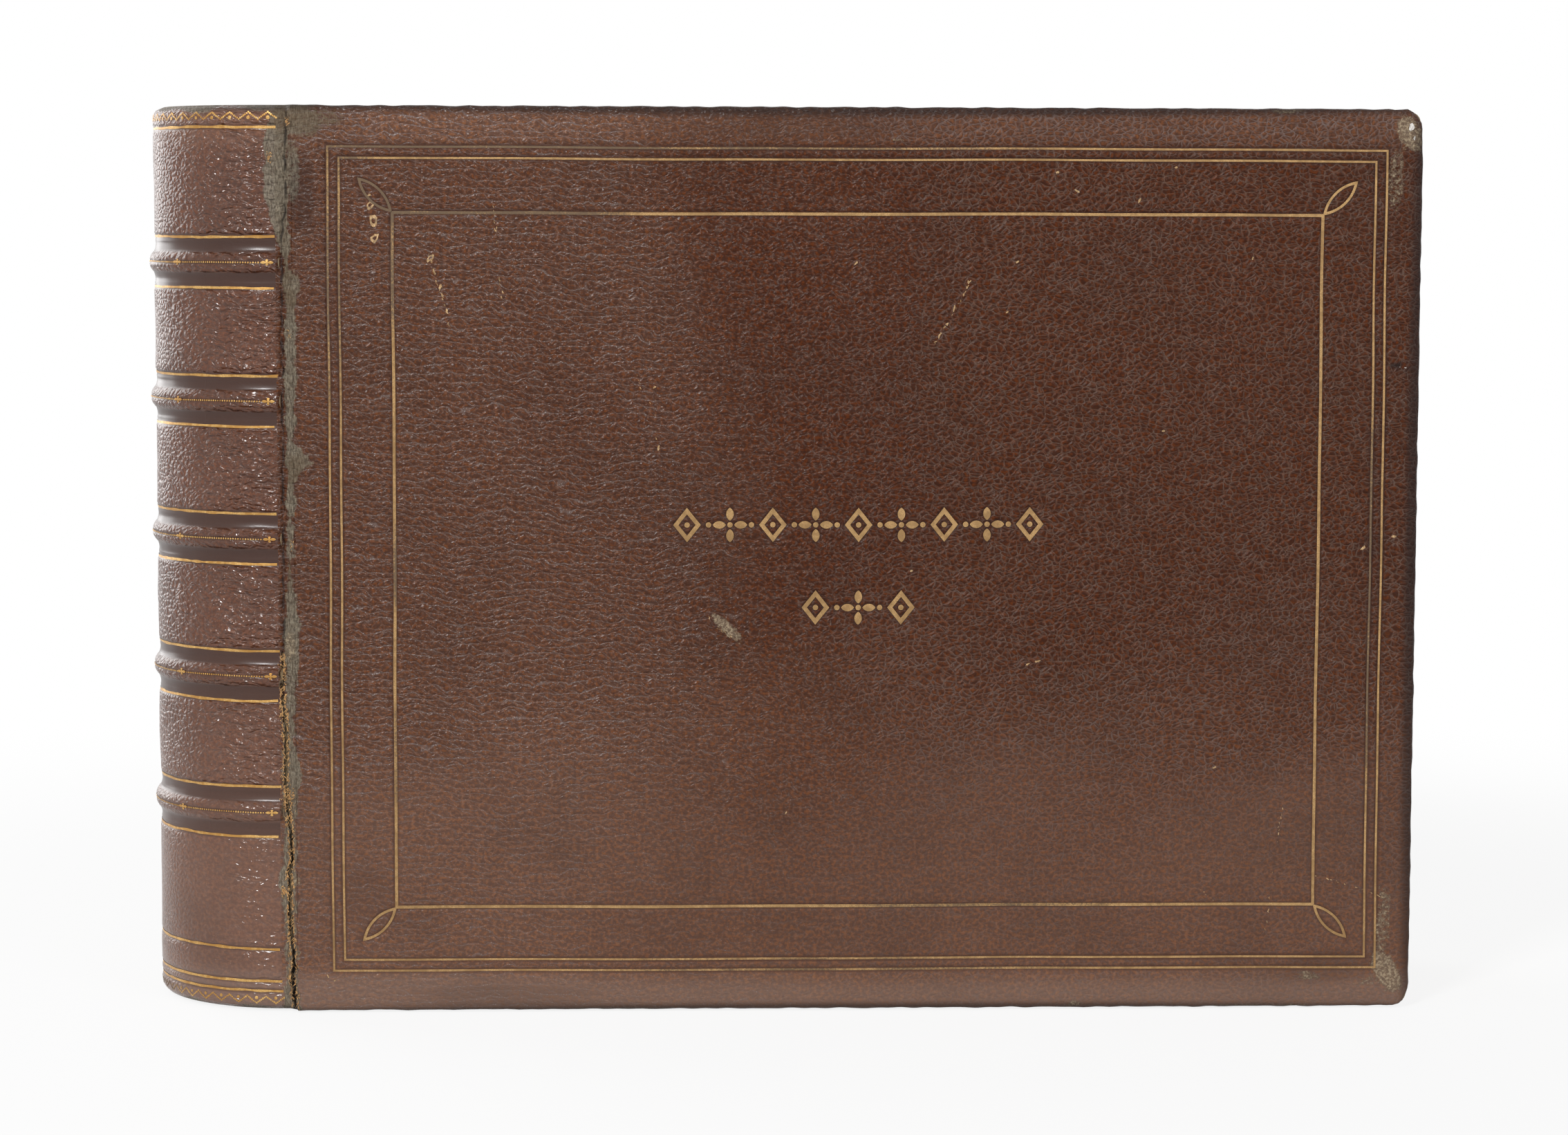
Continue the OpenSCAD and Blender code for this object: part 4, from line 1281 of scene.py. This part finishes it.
def fleck_outline(u, v, length, width, angle, rng):
    turns = np.linspace(0.0, math.tau, 11, endpoint=False)
    reach = rng.uniform(0.62, 1.15, len(turns))
    points = [(length / 2 * r * math.cos(t), width / 2 * r * math.sin(t))
              for t, r in zip(turns, reach)]
    return turned(points, math.radians(angle), u, v)


def surface_marks():
    """Flakes, scratches and painted highlights (white glint spots) on the front cover."""
    shapes = Shapes()
    rng = np.random.RandomState(81)
    for u, v, length, width, angle in FLECKS:
        outline = fleck_outline(u, v, length, width, angle, rng)
        if length > 2.5:
            shapes.ring(outline, [(u + 0.50 * (x - u), v + 0.42 * (y - v)) for x, y in outline])
        else:
            shapes.fan(outline, (u, v), 0.12)
    for count, size, path in SCRATCHES:
        path = np.array(path)
        places = np.sort(rng.uniform(0.0, len(path) - 1.0, count))
        for t in places:
            u = np.interp(t, np.arange(len(path)), path[:, 0]) + rng.normal(0.0, 0.22)
            v = np.interp(t, np.arange(len(path)), path[:, 1])
            ahead = path[min(int(t) + 1, len(path) - 1)] - path[int(t)]
            angle = math.degrees(math.atan2(ahead[1], ahead[0])) + rng.normal(0.0, 18.0)
            length = size * rng.uniform(0.4, 1.2)
            outline = fleck_outline(u, v, length, length * rng.uniform(0.18, 0.42), angle, rng)
            shapes.fan(outline, (u, v), 0.08)
    # Painted highlights: white spots that stand for glints of light
    spots = Shapes()
    for u, v, length, width, angle in PAINTED_GLINTS:
        spots.fan(fleck_outline(u, v, length, width, angle, rng), (u, v), 0.05)
    for name, group, lift, finish in (("cover_flecks", shapes, 0.035, FLAKE),
                                      ("painted_glints", spots, 0.14, GLINT_PAINT)):
        u, v, rise, faces = group.arrays()
        out = cover_out(u, v, tooling_gap(u, v), False) + lift + rise
        add_piece(name, cover_point(u, v, out, -1), faces, "front_cover", finish)


# Torn spots away from the crack: place, reach and how many fibres
TORN_SPOTS = ((-6.3, 247.4, 1.2, 30), (-1.0, 257.2, 1.3, 24), (-2.2, 62.8, 3.2, 90),
              (-3.8, 35.0, 1.4, 44), (-0.4, 136.0, 1.2, 18), (-0.6, 197.0, 1.4, 18))


def frayed_edge():
    """Short torn fibres along the lips of the crack in the front joint."""
    rng = np.random.RandomState(91)
    places = []
    for _ in range(640):
        v = rng.uniform(1.0, 104.0)
        lip = rng.choice((-1, 1))
        width = at_height(CRACK, v, 2)
        middle = at_height(CRACK, v, 1)
        places.append((middle + lip * (width / 2 + 0.18 + abs(rng.normal(0.0, 0.32))), v, 1.0))
    for u, v, reach, count in TORN_SPOTS:
        for _ in range(count):
            places.append((u + rng.normal(0.0, reach * 0.3), v + rng.normal(0.0, reach * 0.6), 0.5))
    points = []
    faces = []
    for u, v, size in places:
        rise = float(joint_rise(u))
        base = SPINE_R + (FACE_Y - SPINE_R) * rise
        length = rng.uniform(0.5, 1.5) * size
        lean = math.radians(rng.uniform(40, 140)) + rng.choice((0.0, math.pi))
        along = np.array([math.cos(lean), math.sin(lean)]) * length
        half = rng.uniform(0.08, 0.22)
        across = np.array([-along[1], along[0]]) / length * half
        tip_out = rng.uniform(0.0, 0.35)
        start = len(points)
        for du, dv, out in ((across[0], across[1], 0.0), (-across[0], -across[1], 0.0),
                            (along[0], along[1], tip_out)):
            points.append((COVER_X + u + du, -(base + 0.10 + out), v + dv))
        faces.append([start, start + 1, start + 2])
    blend_joint(add_piece("joint_fray", points, faces, None, FIBRE))


# Leaves and head bands

def leaf_outline(k, along):
    """Outline of leaf k in x and z, with its small differences in size."""
    rng = np.random.RandomState(100 + k)
    y = -LEAVES_Y + (k + 0.5) * 2 * LEAVES_Y / LEAF_COUNT
    back = BACK_X - math.sqrt((BACK_R - TAPE_T - 0.1) ** 2 - y * y)
    fore = LEAF_X - FORE_HOLLOW + HOLLOW_R - math.sqrt(HOLLOW_R ** 2 - y * y) - rng.uniform(0.0, 0.7)
    tail = LEAF_TAIL + rng.uniform(0.0, 0.3)
    head = LEAF_HEAD - rng.uniform(0.0, 0.35)
    xs = np.linspace(back, fore, along, endpoint=False)
    zs = np.linspace(tail, head, along, endpoint=False)
    loop = [(x, tail) for x in xs] + [(fore, z) for z in zs]
    loop += [(back + fore - x, head) for x in xs] + [(back, tail + head - z) for z in zs]
    return np.array(loop), y


def leaves():
    """Thirty card leaves, each a little different, sewn at the back."""
    along = 22
    bevel = 0.28
    thick = 2 * LEAVES_Y / LEAF_COUNT
    points = []
    faces = []
    for k in range(LEAF_COUNT):
        loop, middle_y = leaf_outline(k, along)
        centre = loop.mean(0)
        inward = np.sign(centre - loop)
        edge_x = (loop[:, 0] == loop[:, 0].max()) | (loop[:, 0] == loop[:, 0].min())
        edge_z = (loop[:, 1] == loop[:, 1].max()) | (loop[:, 1] == loop[:, 1].min())
        inward = np.stack([inward[:, 0] * edge_x, inward[:, 1] * edge_z], -1)
        free = smooth(loop[:, 0], -60.0, LEAF_X)
        wave = 0.10 * free * ripple(loop[:, 1], 120.0, 200 + k)
        half = thick / 2 - 0.05
        start = len(points)
        for inset, y in ((bevel, -half), (0.0, -half + bevel), (0.0, half - bevel), (bevel, half)):
            place = loop + inward * inset
            ys = middle_y + y + wave * (0.0 if k in (0, LEAF_COUNT - 1) else 1.0)
            points.extend(np.stack([place[:, 0], ys, place[:, 1]], -1).tolist())
        faces += closed_tube(start, 4, len(loop))
    piece = add_piece("card_leaves", points, faces, "book_block", CARD_LEAF,
                      replaces=["page_block"])
    piece.data.set_sharp_from_angle(angle=math.radians(35))


def head_band(name, z, node):
    """A cord wound with silk in two colours."""
    length = (BACK_R - HEAD_BAND_R) * HEAD_BAND_ANGLE
    rings = int(length / 0.2)
    sides = 14
    pitch = 0.8
    t = np.linspace(0.0, 1.0, rings)
    turn = math.pi - HEAD_BAND_ANGLE / 2 + t * HEAD_BAND_ANGLE
    round_angle = np.linspace(0.0, math.tau, sides, endpoint=False)
    turn, tube = np.meshgrid(turn, round_angle, indexing="ij")
    wound = (t * length / pitch)[:, None] + tube / math.tau
    radius = (HEAD_BAND_R - 0.02) * (0.90 + 0.10 * np.abs(np.sin(wound * math.pi)))
    radius *= np.where((t < 0.01) | (t > 0.99), 0.5, 1.0)[:, None]
    reach = BACK_R - HEAD_BAND_R + radius * np.cos(tube)
    points = np.stack([BACK_X + reach * np.cos(turn), reach * np.sin(turn),
                       z + radius * np.sin(tube)], -1).reshape(-1, 3)
    colour = ((np.floor(wound) % 6) < 3).astype(float).ravel()
    add_piece(name, points, closed_tube(0, rings, sides), "book_block", SILK,
              {"wound": colour}, [node])


# Camera, light and floor

CAMERA_PLACE = (COVER_X + 101.7, -(FACE_Y + 1100.0), 228.8)
CAMERA_YAW = math.radians(2.06)
CAMERA_PITCH = math.radians(5.15)
CAMERA_ROLL = math.radians(0.16)
IMAGE_W = 2268.0
FOCAL_PX = 5528.5
SENSOR_W = 36.0


def add_camera():
    """The photograph's view, level enough that the top edges stay out of sight."""
    yaw, pitch, roll = CAMERA_YAW, CAMERA_PITCH, CAMERA_ROLL
    forward = Vector((math.sin(yaw) * math.cos(pitch), math.cos(yaw) * math.cos(pitch),
                      -math.sin(pitch)))
    level = Vector((math.cos(yaw), -math.sin(yaw), 0.0))
    above = level.cross(forward)
    right = level * math.cos(roll) + above * math.sin(roll)
    up = above * math.cos(roll) - level * math.sin(roll)
    data = bpy.data.cameras.new("camera")
    data.sensor_width = SENSOR_W
    data.sensor_fit = "HORIZONTAL"
    data.lens = FOCAL_PX * SENSOR_W / IMAGE_W
    data.clip_start = 0.05
    data.clip_end = 50.0
    camera = add_object("camera", data)
    turn = Matrix((right, up, -forward)).transposed().to_4x4()
    camera.matrix_world = Matrix.Translation(Vector(CAMERA_PLACE) * MM) @ turn
    bpy.context.scene.camera = camera


def add_light(name, place, aim, size, power, colour=(1.0, 1.0, 1.0)):
    """A soft rectangular lamp, in metres, aimed at a place."""
    data = bpy.data.lights.new(name, "AREA")
    data.shape = "RECTANGLE"
    data.size, data.size_y = size
    data.energy = power
    data.color = colour
    lamp = add_object(name, data)
    lamp.location = place
    lamp.visible_camera = False
    towards = Vector(aim) - Vector(place)
    lamp.rotation_euler = towards.to_track_quat("-Z", "Y").to_euler()


def add_world(ambient):
    """An even pale sky for light, and plain white where the camera or a reflection sees it."""
    s = Shader("studio", world=True)
    sky = s.node("Background", {"Color": WHITE, "Strength": ambient}).outputs[0]
    bpy.context.scene.world = s.white_or(sky)


def add_floor():
    """A large pale floor under the album."""
    mesh = bpy.data.meshes.new("floor")
    reach = 12.0
    corners = [(-reach, -reach, 0), (reach, -reach, 0), (reach, reach, 0), (-reach, reach, 0)]
    mesh.from_pydata(corners, [], [(0, 1, 2, 3)])
    mesh.materials.append(floor_material())
    floor = add_object("floor", mesh)
    floor.location.z = -0.0005


# The album

# Deep and warm colours, each fresh and then faded and lit; the lighter ones are partly painted light
COVER_COLOURS = ((rgb(54, 21, 3), rgb(99, 69, 55)), (rgb(88, 38, 0), rgb(136, 89, 58)))
SPINE_COLOURS = ((rgb(70, 30, 8), rgb(108, 72, 55)), (rgb(100, 47, 13), rgb(132, 88, 63)))
LEATHER = leather_material(
    "grained_leather", specular=0.14, relief=1.0, fold_relief=0.22, net_share=1.0,
    gloss_round=0.38, gloss_drawn=0.24, sound=COVER_COLOURS)
SPINE_LEATHER = leather_material(
    "handled_leather", specular=0.40, relief=1.2, fold_relief=0.56, net_share=0.34,
    gloss_round=0.27, gloss_drawn=0.13, sound=SPINE_COLOURS)
GILT = gilt_material("worn_gilt", rgb(150, 118, 78), rgb(198, 160, 110))
SPINE_GILT = gilt_material("bright_gilt", rgb(178, 132, 70), rgb(232, 192, 124))
FLAKE = fibre_material("pale_flake", rgb(222, 188, 144), rgb(150, 116, 78))
# White for the painted highlights
GLINT_PAINT = fibre_material("painted_highlight", rgb(240, 237, 232), rgb(196, 188, 180))
FIBRE = fibre_material("torn_fibre", rgb(226, 182, 124), rgb(156, 110, 68))
SILK = silk_material()
CARD_LEAF = paper_material("card_leaf", rgb(222, 208, 178), rgb(196, 176, 138), layers=0.55)
ENDPAPER = paper_material("endpaper", rgb(226, 214, 188), rgb(202, 184, 150))
MILLBOARD = paper_material("millboard", rgb(128, 112, 90), rgb(96, 80, 62), layers=0.4)
LINEN = cloth_material("linen", rgb(206, 196, 168), rgb(150, 138, 112), 0.9)

rows = spine_rows()
cover_leather("front_skin", "front_cover", -1, ["front_cover_leather"], plain=False)
cover_leather("rear_skin", "rear_cover", 1, ["rear_cover_leather"], plain=True)
spine_leather(rows)
joint_strip("front_joint_skin", -1, rows, cracked=True)
joint_strip("rear_joint_skin", 1, rows, cracked=False)
cover_gilding()
spine_gilding()
surface_marks()
frayed_edge()
leaves()
head_band("head_band_silk", LEAF_HEAD + HEAD_BAND_R, "head_band")
head_band("tail_band_silk", LEAF_TAIL - HEAD_BAND_R, "tail_band")

CAD_FINISHES = {
    "front_flyleaf": ENDPAPER, "rear_flyleaf": ENDPAPER, "front_pastedown": ENDPAPER,
    "rear_pastedown": ENDPAPER, "front_board": MILLBOARD, "rear_board": MILLBOARD,
    "spring_back": MILLBOARD, "spine_lining": LINEN}
CAD_FINISHES.update({f"band_{number}": MILLBOARD for number in range(1, 6)})
CAD_FINISHES.update({f"tape_{number}": LINEN for number in range(1, 5)})
for node_name, finish in CAD_FINISHES.items():
    node_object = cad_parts[node_name]
    node_object.data.materials.clear()
    node_object.data.materials.append(finish)

add_camera()
add_world(0.40)
add_light("key", (-0.9, -1.75, 1.5), (-0.05, 0.0, 0.13), (0.4, 0.4), 30.0)
add_light("fill", (1.3, -1.7, 0.9), (0.05, 0.0, 0.13), (1.0, 1.0), 9.0)
add_light("rim", (-1.4, 1.3, 0.8), (-0.18, 0.0, 0.13), (1.4, 1.5), 19.0)
add_floor()
bpy.context.scene.view_settings.view_transform = "Standard"
